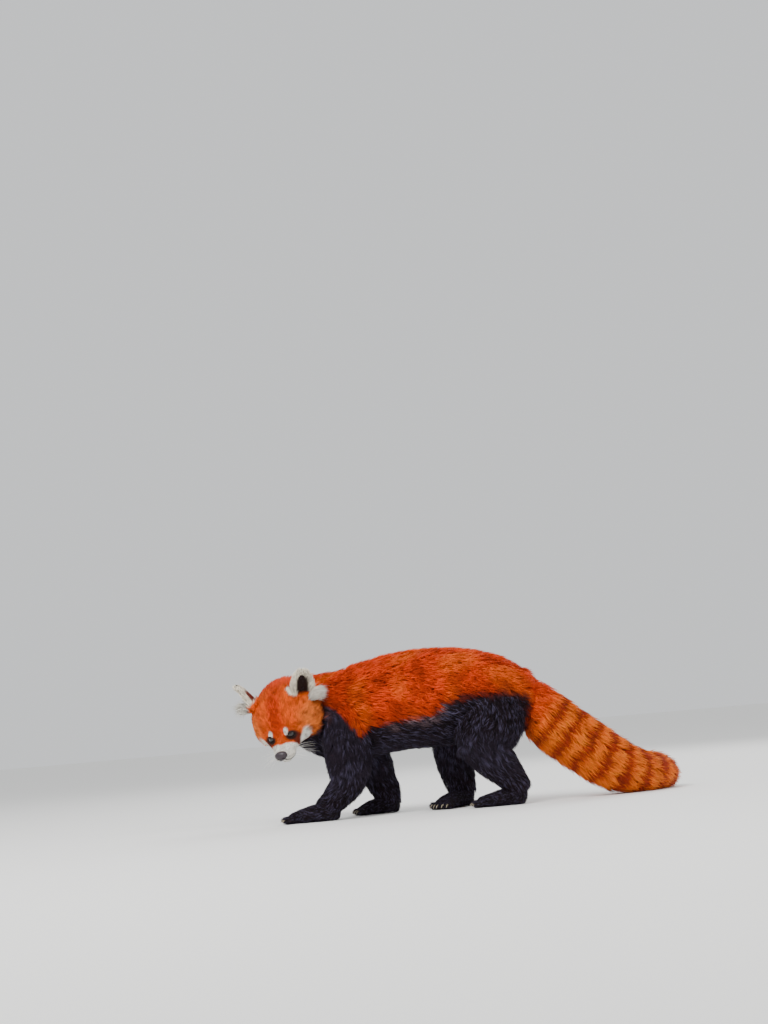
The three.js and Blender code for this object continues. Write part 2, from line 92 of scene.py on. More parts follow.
def from_head(points):
    """Points of the head's frame in the animal's layout."""
    return np.asarray(points, float) @ HEAD_AXES.T + HEAD_PLACE


def to_head(points):
    return (points - HEAD_PLACE) @ HEAD_AXES


# Where the animal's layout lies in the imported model, from the middle of the left eye's box.
_LOW, _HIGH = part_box("eye_left")
SHIFT = from_head(eye_centre(1)) - 1000.0 * np.array((_LOW + _HIGH) / 2)


def placed(points):
    """Millimetres of the animal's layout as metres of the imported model."""
    return (np.asarray(points, float) - SHIFT) / 1000.0


# Forms: each has its sections [x, y, z, half width, height above, height below], the coat's depth
# over the skin, the way the hair runs along it (1 with the sections, -1 against), the hair's length,
# the side that its sections have uppermost, its rounded ends, and how square a section is (2 is an ellipse).
def body_form(sections, depth, flow, hair, upward=UP, caps=(20, 20), power=2.0, head=False):
    return dict(
        sections=np.array(sections, float),
        depth=depth,
        flow=flow,
        hair=hair,
        upward=upward,
        caps=caps,
        power=power,
        head=head,
    )


FORMS = {
    "torso": body_form(
        [
            [-160, 0, 185, 55, 76, 76],
            [-130, 0, 188, 67, 89, 89],
            [-85, 0, 192, 74, 96, 86],
            [-30, 0, 197, 78, 101, 85],
            [30, 0, 197, 79, 103, 85],
            [85, 0, 195, 77, 99, 81],
            [135, 0, 192, 70, 87, 73],
            [175, 0, 186, 58, 69, 60],
        ],
        depth=10.5,
        flow=1,
        hair=25,
        caps=(30, 44),
        power=2.15,
    ),
    "neck": body_form(
        [
            [-138, 0, 189, 60, 82, 84],
            [-170, 3, 194, 57, 76, 76],
            [-202, 6, 204, 54, 65, 68],
            [-232, -2, 213, 50, 53, 58],
            [-250, -24, 208, 44, 44, 50],
        ],
        depth=5,
        flow=-1,
        hair=24,
        caps=(20, 22),
    ),
    "tail": body_form(
        [
            [174, 0, 198, 46, 54, 46],
            [212, 0, 166, 48, 53, 48],
            [262, 2, 123, 50, 53, 52],
            [312, 7, 83, 49, 52, 52],
            [356, 18, 55, 46, 47, 50],
            [395, 37, 40, 41, 40, 41],
            [428, 66, 34, 37, 36, 35.5],
            [450, 102, 29, 32, 31, 30.5],
            [460, 142, 24, 27, 26, 25.5],
        ],
        depth=13.5,
        flow=1,
        hair=33,
        caps=(20, 28),
    ),
    "head": body_form(
        [
            [-104, 0, 4, 50, 50, 37],
            [-90, 0, 3, 59, 55, 43],
            [-72, 0, 1, 65, 57, 47],
            [-50, 0, 0, 66, 54, 46],
            [-32, 0, -3, 61, 47, 43],
            [-17, 0, -7, 54, 37, 36],
            [-5, 0, -11, 41, 25, 29],
            [8, 0, -16, 30, 17.5, 23],
            [22, 0, -18.5, 23, 13.5, 18],
            [35, 0, -20, 17.5, 11, 14.5],
        ],
        depth=3.6,
        flow=-1,
        hair=11,
        caps=(14, 7),
        power=2.1,
        head=True,
    ),
}

# Each leg: the sections of its upper part, its lower part and its paw, the way the paw points, and
# the place of its middle toe.
LEGS = {
    "fore_left": (
        [[-140, -36, 192, 26, 40, 40], [-141, -47, 152, 30, 42, 42],
         [-140, -55, 114, 29, 41, 41], [-143, -57, 84, 26, 35, 38]],
        [[-141, -57, 94, 27, 36, 38], [-148, -57, 68, 24.5, 29, 33],
         [-168, -54, 44, 22, 22, 26], [-186, -52, 28, 20, 18, 20]],
        [[-176, -52, 15, 21, 17, 16], [-202, -51, 16, 25, 16, 17],
         [-228, -50, 13, 26, 13, 14], [-247, -49, 10, 21, 10, 11]],
        (-1, 0.05),
        (-258, -49),
    ),
    "fore_right": (
        [[-132, 36, 192, 26, 40, 40], [-123, 47, 152, 30, 42, 42],
         [-108, 55, 114, 28, 37, 38], [-96, 56, 84, 24, 31, 33]],
        [[-99, 56, 92, 25, 32, 34], [-89, 54, 64, 23, 28, 29],
         [-80, 50, 42, 21.5, 25, 26], [-76, 48, 26, 20, 22, 22]],
        [[-68, 48, 15, 21, 17, 16], [-88, 47, 16, 24, 16, 17],
         [-108, 45, 13, 25, 13, 14], [-122, 43, 10, 21, 10, 11]],
        (-0.99, -0.12),
        (-131, 42),
    ),
    "hind_left": (
        [[124, -34, 205, 28, 56, 56], [120, -46, 168, 35, 58, 68],
         [108, -57, 134, 36, 52, 66], [102, -61, 108, 31, 40, 54]],
        [[94, -62, 122, 31, 38, 46], [119, -62, 86, 28, 33, 46],
         [146, -58, 58, 25, 27, 30], [164, -54, 34, 22, 22, 22]],
        [[166, -52, 17, 20, 17, 18], [140, -50, 16, 22, 15, 17],
         [118, -48, 13, 25, 12, 14], [99, -46, 10, 21, 10, 11]],
        (-0.99, 0.1),
        (90, -45),
    ),
    "hind_right": (
        [[96, 34, 205, 28, 55, 55], [82, 46, 168, 34, 54, 60],
         [66, 57, 134, 34, 45, 54], [54, 60, 108, 30, 37, 42]],
        [[52, 60, 120, 30, 35, 40], [54, 60, 86, 27, 33, 35],
         [60, 57, 56, 24, 30, 30], [65, 53, 32, 22, 25, 24]],
        [[68, 50, 17, 20, 17, 18], [52, 32, 16, 22, 15, 17],
         [38, 15, 13, 25, 12, 14], [28, 3, 10, 21, 10, 11]],
        (-0.62, -0.78),
        (22, -4),
    ),
}
# What the like parts of all four legs share.
LEG_PARTS = {
    "upper": dict(depth=5, hair=20, upward=FORWARD, caps=(24, 22)),
    "lower": dict(depth=3.5, hair=16, upward=FORWARD, caps=(16, 14)),
    "paw": dict(depth=2, hair=8, upward=UP, caps=(14, 10), power=2.3),
}
for _leg, _row in LEGS.items():
    for (_part, _shared), _sections in zip(LEG_PARTS.items(), _row):
        FORMS[f"{_leg}_{_part}"] = body_form(_sections, flow=1, **_shared)

# Balls that round the head's cheeks and the pads of its muzzle: middle and radii.
CHEEKS = (((-35, 39, -19), (26, 23, 24)), ((-41, -42, -8), (25, 23, 23)))
JOWLS = (((22, 10, -24), (17, 12.5, 11)), ((22, -10, -24), (17, 12.5, 11)), ((18, 0, -33), (18, 14, 9)))
# Each ear: its base and tip in the head's frame, and how many degrees outward its cup faces.
EARS = {
    "left": {"side": 1, "base": (-58, 46, 32), "tip": (-73, 64, 81), "outward": 34},
    "right": {"side": -1, "base": (-62, -54, 39), "tip": (-74, -73, 84), "outward": 62},
}
EAR_WIDTH_AT = [-0.1, 0.2, 0.45, 0.7, 0.85, 0.94, 1.0]
EAR_HALF_WIDTHS = [24, 25, 24, 20.5, 16.5, 12, 5]
NOSE_CENTRE = np.array([40.0, 0.0, -15.5])
NOSE_RADII = np.array([8.4, 12.0, 8.8])


# Small numeric helpers

NOISE_WAVES = 7
NOISE_HEIGHT = 3.2


def unit(v):
    """Each vector at a length of 1."""
    return v / np.maximum(np.linalg.norm(v, axis=-1, keepdims=True), 1e-9)


def smooth(low, high, x):
    """A soft step from 0 at low to 1 at high. It falls instead where low is the larger."""
    t = np.clip((x - low) / (high - low), 0, 1)
    return t * t * (3 - 2 * t)


def spline(points, count):
    """Rows spaced evenly along a smooth line through rows whose first three numbers are a place."""
    points = np.asarray(points, float)
    padded = np.vstack([2 * points[0] - points[1], points, 2 * points[-1] - points[-2]])
    fine = []
    for i in range(len(points) - 1):
        p0, p1, p2, p3 = padded[i : i + 4]
        for t in np.linspace(0, 1, 24, endpoint=i == len(points) - 2):
            parts = (2 * p1, p2 - p0, 2 * p0 - 5 * p1 + 4 * p2 - p3, 3 * p1 - p0 - 3 * p2 + p3)
            fine.append(0.5 * sum(part * t**power for power, part in enumerate(parts)))
    fine = np.array(fine)
    steps = np.r_[0, np.cumsum(np.linalg.norm(np.diff(fine[:, :3], axis=0), axis=1))]
    at = np.linspace(0, steps[-1], count)
    return np.stack([np.interp(at, steps, fine[:, k]) for k in range(fine.shape[1])], 1), steps[-1]


def frames_along(form, count=24):
    """Centres, tangents, sides, tops and sizes of a form's rings, in the animal's layout."""
    rows, length = spline(form["sections"], count)
    centre, size = rows[:, :3], rows[:, 3:]
    tangent = unit(np.gradient(centre, axis=0))
    side = unit(np.cross(np.array(form["upward"]), tangent))
    top = np.cross(tangent, side)
    if form["head"]:
        centre = from_head(centre)
        tangent, side, top = (v @ HEAD_AXES.T for v in (tangent, side, top))
    return centre, tangent, side, top, size, length


def noise(points, scale, seed=0):
    """Smooth noise from -1 to 1 over places, from a seeded sum of waves."""
    rng = np.random.default_rng(seed)
    total = np.zeros(len(points))
    for _ in range(NOISE_WAVES):
        wave = rng.normal(size=3)
        wave *= rng.uniform(0.6, 1.6) * 2 * math.pi / scale / np.linalg.norm(wave)
        total += np.sin(points @ wave + rng.uniform(0, 6.28))
    return total / NOISE_HEIGHT


# Colours


def linear(hex_colour):
    """A linear RGB colour from an sRGB hex string."""
    parts = [int(hex_colour[i : i + 2], 16) / 255 for i in (1, 3, 5)]
    return np.array([p / 12.92 if p <= 0.04045 else ((p + 0.055) / 1.055) ** 2.4 for p in parts])


RUST_DEEP = linear("#8a2408")
RUST_LIGHT = linear("#ee6712")
FACE_ORANGE = linear("#e05708")
FACE_PALE = linear("#e88238")
FOREHEAD = linear("#bd3204")
CREAM = linear("#e3d3b6")
BROWN = linear("#2b1610")
TEAR = linear("#6e2410")
# Grey of the painted sheen on black hair.
PAINTED_SHEEN_GREY = linear("#5b5570")
FRINGE = linear("#8a7078")
TAIL_LIGHT = linear("#f27a1e")


def tone(name):
    """A colour of the coat that the user may change."""
    return np.array(getattr(bpy.context.scene.red_panda, name))


# The lower edge of the red coat on the flank: place along the body, and height there.
EDGE_X = [-230, -190, -157, -132, -115, -93, -34, 19, 48, 89, 155, 194, 215]
EDGE_Z = [232, 214, 197, 164, 146, 164, 172, 173, 192, 205, 208, 196, 160]


# Marks on the left of the face, in the head's frame: middle, radii and softness of the edge.
TEAR_MARK = ((6, 30, -11), (13, 8, 15))
JAW_MARK = ((2, 32, -30), (16, 12, 8))
CHEEK_MARK = ((-10, 45, -27), (14, 15, 26), 0.2)
CHEEK_SLANT = [0.35, -0.15, 0]
EYE_MARK = ((7, 21.5, 0), (11, 11.5, 8.5), 0.3)
CHIN_MARK = ((18, 0, -36), (24, 18, 12))
# The white brow of the left eye sits over its inner corner, and that of the right eye right above it.
BROW_MARKS = {1: ((4, 13.0, 9.5), (9, 4.8, 6.5), 0.25), -1: ((4, 19.0, 9.5), (9, 4.8, 6.5), 0.25)}
# Rings of the tail, in millimetres along it.
FIRST_RING = 84
RING_SPACING = 38
DARK_TIP = (372, 392)


def spot(local, centre, radii, soft=0.35):
    """How far inside a soft ellipsoid each place is, from 0 to 1."""
    reach = np.linalg.norm((local - np.array(centre)) / np.array(radii), axis=1)
    return 1 - smooth(1 - soft, 1 + soft, reach)


def mixed(base, colour, share):
    """Colours moved towards one colour by a share of the way at each place."""
    return base + (colour - base) * share[:, None]


def face_colours(points):
    """The markings of the head, from places in the animal's layout."""
    local = to_head(points)
    wobble = noise(local, 26, 5)
    f, l, u = local[:, 0] + wobble, local[:, 1], local[:, 2] + wobble
    out = np.tile(FACE_ORANGE, (len(points), 1))
    out = mixed(out, FACE_PALE, smooth(26, 54, np.abs(l)) * smooth(46, 14, u) * 0.65)
    out = mixed(out, FOREHEAD, smooth(21, 6, np.abs(l + 2)) * smooth(-6, 14, u) * smooth(70, 50, u) * 0.85)
    out = mixed(out, RUST_DEEP, smooth(0.2, 0.9, noise(local, 15, 12)) * 0.35)
    out = mixed(out, tone("rust"), smooth(-62, -86, f))
    below = smooth(-26, -38, u + 0.25 * f) * smooth(10, -6, f)
    out = mixed(out, tone("black"), below)
    out = mixed(out, tone("black"), smooth(-40, -62, f) * smooth(10, -6, u))
    for side in (1, -1):
        mirrored = np.stack([f, l * side, u], 1)
        slanted = mirrored + mirrored[:, 2:] * CHEEK_SLANT
        for colour, places, mark in (
            (TEAR, mirrored, TEAR_MARK),
            (tone("black"), mirrored, JAW_MARK),
            (tone("white"), slanted, CHEEK_MARK),
            (BROWN, mirrored, EYE_MARK),
            (tone("white"), mirrored, BROW_MARKS[side]),
        ):
            out = mixed(out, colour, spot(places, *mark))
    bridge = 3 * smooth(8, 2, np.abs(l))
    muzzle = smooth(13.5, 17.5, f + 0.5 * (-8 - u) - bridge) * smooth(3, -3, u)
    out = mixed(out, tone("white"), muzzle)
    return mixed(out, tone("white"), spot(np.stack([f, l, u], 1), *CHIN_MARK))


def ear_colours(points, name):
    """Dark inside the cup, white round the rim, dark red-brown behind."""
    inside, rim, share = ear_place(points, name)
    behind = np.where(inside > 0, 0.0, 1.0)
    out = mixed(np.tile(BROWN, (len(points), 1)), RUST_DEEP, 0.6 * behind)
    pale = np.maximum(rim, behind * smooth(0.5, 0.75, share))
    out = mixed(out, (tone("white") + CREAM) / 2, pale)
    return mixed(out, FACE_ORANGE, smooth(0.2, 0.08, share))


def ear_frame(name):
    """An ear's base, rise, side and facing in the animal's layout."""
    ear = EARS[name]
    base, tip = np.array(ear["base"], float), np.array(ear["tip"], float)
    rise = tip - base
    turn = math.radians(ear["outward"])
    facing = np.array([math.cos(turn), math.sin(turn) * ear["side"], 0.0])
    facing = unit(facing - rise * (facing @ rise) / (rise @ rise))
    side = unit(np.cross(facing, rise))
    return from_head(base), rise @ HEAD_AXES.T, side @ HEAD_AXES.T, facing @ HEAD_AXES.T


def ear_half_width(share):
    """Half an ear's width at a share of the way from its base to its tip."""
    return np.interp(share, EAR_WIDTH_AT, EAR_HALF_WIDTHS)


def ear_place(points, name):
    """Which face of an ear each place is on, how near its rim, and how far up it."""
    base, rise, side, facing = ear_frame(name)
    off = points - base
    share = off @ rise / (rise @ rise)
    across = off @ side / ear_half_width(share)
    depth = off @ facing
    rim = np.maximum(smooth(0.34, 0.62, np.abs(across)), smooth(0.58, 0.76, share))
    rim = np.where(depth > 1.0 - 8.0 * np.abs(across) ** 2, rim, rim * smooth(0.62, 0.95, np.abs(across)))
    return depth + 4 - 7 * across**2, rim, share


def body_colours(points):
    """The markings of the torso, neck and legs: red above, near black below."""
    x, y, z = points.T
    rough = 4 * noise(points, 60, 8) + 2.5 * noise(points, 17, 9)
    edge = np.interp(x, EDGE_X, EDGE_Z)
    soft = np.interp(x, [40, 110], [5, 13])
    share = smooth(edge - soft, edge + soft, z + rough)
    red = np.tile(tone("rust"), (len(points), 1))
    red = mixed(red, RUST_LIGHT, 0.7 * smooth(-0.3, 0.8, noise(points, 70, 3)))
    red = mixed(red, RUST_DEEP, 0.55 * smooth(0.1, 1.0, noise(points, 38, 4)))
    red = mixed(red, RUST_DEEP, 0.5 * smooth(36, 0, z - edge))
    # Painted shade darkens the red of the left shoulder, behind the neck.
    red = mixed(red, RUST_DEEP, 0.5 * spot(points, (-150, -60, 215), (38, 60, 42), 0.5))
    # Black streaks run up into the red over the haunch.
    streaks = smooth(0.35, 0.9, noise(points * [1.0, 1.0, 0.35], 16, 14))
    haunch = smooth(5, 40, x) * smooth(135, 100, x) * smooth(46, 8, z - edge)
    red = mixed(red, tone("black"), 0.85 * streaks * haunch)
    dark = np.tile(tone("black"), (len(points), 1))
    pale = smooth(-0.2, 0.8, noise(points, 13, 15)) * smooth(-0.4, 0.6, noise(points, 60, 17))
    # Painted grey sheen shows on the black of the legs, and paler hairs fringe the belly under the red.
    leg = smooth(150, 110, z) + smooth(-95, -110, x) * smooth(-200, -180, x)
    dark = mixed(dark, PAINTED_SHEEN_GREY, (0.08 + 0.5 * pale) * np.clip(leg, 0, 1) * smooth(45, 75, z))
    fringe = smooth(26, 4, edge - z) * smooth(-75, -45, x) * smooth(60, 30, x)
    dark = mixed(dark, FRINGE, 0.75 * fringe * smooth(-0.3, 0.5, noise(points * [1.6, 1.0, 0.4], 18, 16)))
    return mixed(dark, red, share)


def tail_colours(points, along):
    """Rings across the tail, from places and millimetres along it."""
    out = np.tile(tone("rust"), (len(points), 1))
    out = mixed(out, TAIL_LIGHT, smooth(40, 90, along) * 0.75)
    wave = 0.5 + 0.5 * np.cos((along - FIRST_RING + 3 * noise(points, 50, 6)) / RING_SPACING * 2 * math.pi)
    out = mixed(out, tone("ring"), smooth(0.5, 0.85, wave) * smooth(58, 80, along))
    out = mixed(out, TAIL_LIGHT, 0.5 * smooth(0.35, 0.1, wave) * smooth(60, 90, along))
    return mixed(out, BROWN, smooth(*DARK_TIP, along))


# Where on the body a place is

EAR_THICKNESS = 15
EAR_REACH = 1.15
INSIDE, OUTSIDE = 0.1, 9.0
NO_END = 1e3
BLEND_SHARPNESS = 14


def survey(points):
    """Each place's share in every form and ear, its owner, and the hair's way and its place on each."""
    names = list(FORMS)
    reach = np.full((len(names), len(points)), OUTSIDE)
    ways = np.zeros((len(names), len(points), 3))
    along = np.zeros((len(names), len(points)))
    turn = np.zeros((len(names), len(points)))
    for k, form in enumerate(FORMS.values()):
        centre, tangent, side, top, size, length = frames_along(form)
        near = np.argmin(((points[:, None] - centre[None]) ** 2).sum(2), 1)
        off = points - centre[near]
        a, b, c = ((off * v[near]).sum(1) for v in (side, top, tangent))
        wide = size[near, 0] - form["depth"]
        high = np.where(b > 0, size[near, 1], size[near, 2]) - form["depth"]
        # Only the first and the last ring have a rounded end beyond them.
        cap = np.full(len(points), NO_END)
        cap[near == 0], cap[near == len(centre) - 1] = form["caps"]
        reach[k] = np.sqrt((a / wide) ** 2 + (b / high) ** 2 + (c / cap) ** 2)
        ways[k] = tangent[near] * form["flow"]
        along[k] = near / (len(centre) - 1) * length + c
        turn[k] = np.arctan2(b / high, a / wide)
    for name in EARS:
        base, rise, side, facing = ear_frame(name)
        off = points - base
        share = off @ rise / (rise @ rise)
        across = np.abs(off @ side) / ear_half_width(share)
        depth = np.abs(off @ facing) / EAR_THICKNESS
        out = np.maximum(across, depth) + 5 * np.maximum(0.16 - share, 0) + 3 * np.maximum(share - 1.3, 0)
        reach = np.vstack([reach, out[None]])
        ways = np.concatenate([ways, np.tile(unit(rise), (1, len(points), 1))])
        along = np.vstack([along, share[None] * 50])
        turn = np.vstack([turn, np.arctan2(off @ facing, off @ side)[None]])
        names.append("ear_" + name)
    # An ear owns what lies within it, and everything else goes to the form whose surface is nearest.
    for row in range(len(FORMS), len(names)):
        reach[row] = np.where(reach[row] < EAR_REACH, INSIDE, OUTSIDE)
    weight = np.exp(-BLEND_SHARPNESS * (reach - reach.min(0)))
    weight /= weight.sum(0)
    return dict(names=names, weight=weight, owner=reach.argmin(0), ways=ways, along=along, turn=turn)


def colours_at(points, found):
    """The markings, blended over the forms that meet at each place."""
    names, weight = found["names"], found["weight"]
    head = weight[names.index("head")]
    tail = weight[names.index("tail")]
    out = body_colours(points)
    if (head > 0.01).any():
        out = mixed(out, 0, head) + face_colours(points) * head[:, None]
    if (tail > 0.01).any():
        rings = tail_colours(points, found["along"][names.index("tail")])
        out = mixed(out, 0, tail) + rings * tail[:, None]
    for name in EARS:
        share = weight[names.index("ear_" + name)]
        out = mixed(out, 0, share) + ear_colours(points, name) * share[:, None]
    return out


# Meshes


def linked(name, data):
    obj = bpy.data.objects.new(name, data)
    bpy.context.scene.collection.objects.link(obj)
    return obj


def piece(name, mesh):
    """A finished mesh as a piece of the body, attached to its root."""
    obj = linked(name, mesh)
    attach(obj, "root")
    return obj


def finished(name, bm, material):
    """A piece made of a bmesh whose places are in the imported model's metres."""
    bmesh.ops.recalc_face_normals(bm, faces=bm.faces)
    mesh = bpy.data.meshes.new(name)
    bm.to_mesh(mesh)
    bm.free()
    mesh.shade_smooth()
    mesh.materials.append(material)
    return piece(name, mesh)


def loft(bm, rings):
    """A closed tube through rings of places, made by extruding one circle."""
    made = bmesh.ops.create_circle(bm, cap_ends=True, segments=len(rings[0]), radius=1)
    verts = list(made["verts"])
    for vert, place in zip(verts, rings[0]):
        vert.co = place
    edges = list(dict.fromkeys(e for v in verts for e in v.link_edges))
    for ring in rings[1:]:
        index = {tuple(v.co): i for i, v in enumerate(verts)}
        grown = bmesh.ops.extrude_edge_only(bm, edges=edges)["geom"]
        fresh = [g for g in grown if isinstance(g, bmesh.types.BMVert)]
        edges = [g for g in grown if isinstance(g, bmesh.types.BMEdge)]
        verts = [None] * len(verts)
        for vert in fresh:
            verts[index[tuple(vert.co)]] = vert
        for vert, place in zip(verts, ring):
            vert.co = place
        edges = [e for e in edges if all(v in fresh for v in e.verts)]
    bmesh.ops.holes_fill(bm, edges=edges, sides=0)


CAP_TURNS = (0.3, 0.6, 0.9, 1.2, 1.5)


def form_rings(form, grow, sides=40, steps=26):
    """Rings round a form at a depth under its coat, with rounded ends."""
    centre, tangent, side, top, size, _ = frames_along(form, steps)
    size = np.maximum(size + grow, 2.0)
    angle = np.linspace(0, 2 * math.pi, sides, endpoint=False)

    def bulge(v):
        return np.sign(v) * np.abs(v) ** (2 / form["power"])

    def ring(i, cap, turn, sign):
        middle = centre[i] + tangent[i] * sign * cap * math.sin(turn)
        shrink = math.cos(turn)
        wide = bulge(np.cos(angle)) * size[i, 0] * shrink
        high = bulge(np.sin(angle)) * np.where(np.sin(angle) > 0, size[i, 1], size[i, 2]) * shrink
        return middle + side[i] * wide[:, None] + top[i] * high[:, None]

    caps = [max(c + grow, 3) for c in form["caps"]]
    rings = [ring(0, caps[0], turn, -1) for turn in reversed(CAP_TURNS)]
    rings += [ring(i, 0, 0, 0) for i in range(steps)]
    rings += [ring(steps - 1, caps[1], turn, 1) for turn in CAP_TURNS]
    return rings


def ear_rings(name, sides=36):
    """An ear as a cupped shell: rings up it, whose front half is pushed in."""
    base, rise, side, facing = ear_frame(name)
    rings = []
    angle = np.linspace(0, 2 * math.pi, sides, endpoint=False)
    for share in np.linspace(-0.15, 1.0, 22):
        width = float(ear_half_width(share)) - 2.0
        across = np.cos(angle)
        thick = np.interp(share, [-0.15, 0.2, 0.7, 1.0], [10, 9.5, 8, 4])
        cup = np.interp(share, [-0.1, 0.15, 0.7, 0.92], [3, 13, 11, 0])
        hollow = np.where(np.sin(angle) > 0, cup * (1 - across**2) ** 1.4, 0)
        depth = thick * np.sin(angle) - hollow
        lean = 2.5 * across**2
        middle = base + rise * share
        rings.append(middle + side * (across * width)[:, None] + facing * (depth + lean)[:, None])
    return rings


def tube_rings(path, radius, sides=8):
    """Rings of places round a path, in the same units as the path."""
    tangent = unit(np.gradient(path, axis=0))
    side = unit(np.cross(tangent, [0.13, 0.21, 0.97]))
    top = np.cross(tangent, side)
    angle = np.linspace(0, 2 * math.pi, sides, endpoint=False)
    ring = side[:, None] * np.cos(angle)[None, :, None] + top[:, None] * np.sin(angle)[None, :, None]
    return list(path[:, None] + ring * np.broadcast_to(radius, len(path))[:, None, None])


def ball(bm, centre, radii, head=False):
    """An ellipsoid added to a bmesh, from a middle and radii in the head's frame or the animal's layout."""
    made = bmesh.ops.create_uvsphere(bm, u_segments=28, v_segments=18, radius=1)["verts"]
    places = np.array([v.co for v in made]) * np.array(radii, float) + np.array(centre, float)
    places = placed(from_head(places) if head else places)
    for vert, place in zip(made, places):
        vert.co = place
    return made


# Materials

COAT_ROUGHNESS = 0.03
GRAIN_DEPTH = 0.0006


def add_node(tree, kind, **settings):
    """A new node with its inputs and properties set by name."""
    node = tree.nodes.new(kind)
    for key, value in settings.items():
        if key in node.inputs:
            node.inputs[key].default_value = value
        else:
            setattr(node, key, value)
    return node


def new_material(name, colour, roughness, attribute=None, bump=None, coat=0.0, specular=0.5):
    """A material of one colour or of a colour attribute, with a grain given as its scale and strength."""
    material = bpy.data.materials.new(name)
    material.use_nodes = True
    tree = material.node_tree
    shader = tree.nodes["Principled BSDF"]
    shader.inputs["Base Color"].default_value = (*colour, 1)
    shader.inputs["Roughness"].default_value = roughness
    shader.inputs["Specular IOR Level"].default_value = specular
    shader.inputs["Coat Weight"].default_value = coat
    shader.inputs["Coat Roughness"].default_value = COAT_ROUGHNESS
    if attribute:
        source = add_node(tree, "ShaderNodeAttribute", attribute_name=attribute)
        tree.links.new(source.outputs["Color"], shader.inputs["Base Color"])
    if bump:
        scale, strength = bump
        place = add_node(tree, "ShaderNodeTexCoord")
        grain = add_node(tree, "ShaderNodeTexNoise", Scale=scale, Detail=3.0)
        raised = add_node(tree, "ShaderNodeBump", Strength=strength, Distance=GRAIN_DEPTH)
        tree.links.new(place.outputs["Object"], grain.inputs["Vector"])
        tree.links.new(grain.outputs["Fac"], raised.inputs["Height"])
        tree.links.new(raised.outputs["Normal"], shader.inputs["Normal"])
    return material


def material(name):
    """One of the animal's materials, made on first use."""
    if name in bpy.data.materials:
        return bpy.data.materials[name]
    made = {
        # Underfur over hide, seen only between the tufts: matt and woolly
        "underfur": dict(colour=(0.2, 0.1, 0.06), roughness=0.9, attribute="markings_shade_and_sheen", bump=(900, 0.4)),
        # Guard hairs: matt, with a little gloss along them
        "guard_hair": dict(colour=(0.4, 0.15, 0.06), roughness=0.7, attribute="markings_shade_and_sheen", specular=0.18),
        # Moist nose leather: fine grain under a thin gloss
        "nose_leather": dict(colour=linear("#2a1d24"), roughness=0.42, bump=(1500, 0.5), coat=0.15),
        # Dark brown iris and pupil under a wet cornea: a sharp glint
        "eye": dict(colour=linear("#0d0504"), roughness=0.2, specular=0.3, coat=0.6),
        # Bare dark skin of the lids: dull and finely creased
        "lid_skin": dict(colour=linear("#1b0d09"), roughness=0.7, bump=(1800, 0.3), specular=0.2),
        # Claws of pale horn: smooth, with a soft gloss
        "claw_horn": dict(colour=linear("#a99c84"), roughness=0.4, bump=(700, 0.15)),
        # Stiff white whisker hair: slightly glossy
        "whisker": dict(colour=linear("#efebe2"), roughness=0.45),
        # Dark lip skin along the mouth: a dull dark line
        "lip_skin": dict(colour=linear("#1a1011"), roughness=0.55),
    }[name]
    return new_material(name, **made)


# Skin

CHEEK_DEPTH = 7
JOWL_DEPTH = 1.8
LID_RIM_RADIUS = 2.9
TOE_RADIUS = 5.0
TOE_SPACING = 9.2
TOE_FLESH = 3.5
LOWEST_SKIN = 0.2
# Share of the markings' brightness that the skin keeps: the rest is painted shade where it shows between the
# tufts.
UNDERFUR_PAINTED_SHADE = 0.55


def with_colours(mesh, colours):
    """Write the markings, with their painted shade and sheen, to a mesh's points."""
    layer = mesh.color_attributes.new(name="markings_shade_and_sheen", type="FLOAT_COLOR", domain="POINT")
    layer.data.foreach_set("color", np.c_[colours, np.ones(len(colours))].astype(np.float32).ravel())


def skin_mesh(voxel):
    """All the forms of flesh, fused by a voxel remesh and smoothed."""
    bm = bmesh.new()
    for form in FORMS.values():
        loft(bm, [placed(r) for r in form_rings(form, -form["depth"])])
    for name in EARS:
        loft(bm, [placed(r) for r in ear_rings(name)])
    for centre, radii in CHEEKS:
        ball(bm, centre, np.array(radii) - CHEEK_DEPTH, head=True)
    for centre, radii in JOWLS:
        ball(bm, centre, np.array(radii) - JOWL_DEPTH, head=True)
    for side in (-1, 1):
        for place in eye_rim(side):
            ball(bm, place, (LID_RIM_RADIUS,) * 3, head=True)
    for *_, ahead, toes in LEGS.values():
        for start, end in toe_places(ahead, toes):
            ball(bm, (start + end) / 2, (TOE_RADIUS + TOE_FLESH, TOE_RADIUS + TOE_FLESH, TOE_RADIUS))
    bmesh.ops.recalc_face_normals(bm, faces=bm.faces)
    rough = bpy.data.meshes.new("skin_rough")
    bm.to_mesh(rough)
    bm.free()
    obj = linked("skin_rough", rough)
    remesh = obj.modifiers.new("Remesh", "REMESH")
    remesh.mode = "VOXEL"
    remesh.voxel_size = voxel
    remesh.use_smooth_shade = True
    relax = obj.modifiers.new("Smooth", "SMOOTH")
    relax.factor = 0.5
    relax.iterations = 5
    graph = bpy.context.evaluated_depsgraph_get()
    mesh = bpy.data.meshes.new_from_object(obj.evaluated_get(graph))
    bpy.data.objects.remove(obj)
    return mesh


RIM_AHEAD = 3.4
RIM_WIDTH = 8.6
RIM_HEIGHT = 6.4
CORNER_BACK = 2.0


def eye_rim(side, count=16):
    """Places round the almond opening of an eye."""
    axis = eye_axis(side)
    across = unit(np.cross([0, 0, 1], axis))
    over = np.cross(axis, across)
    turn = np.linspace(0, 2 * math.pi, count, endpoint=False)[:, None]
    middle = eye_centre(side) + axis * RIM_AHEAD
    wide = across * np.cos(turn) * RIM_WIDTH
    return middle + wide + over * np.sin(turn) * RIM_HEIGHT - axis * CORNER_BACK * np.cos(turn) ** 2


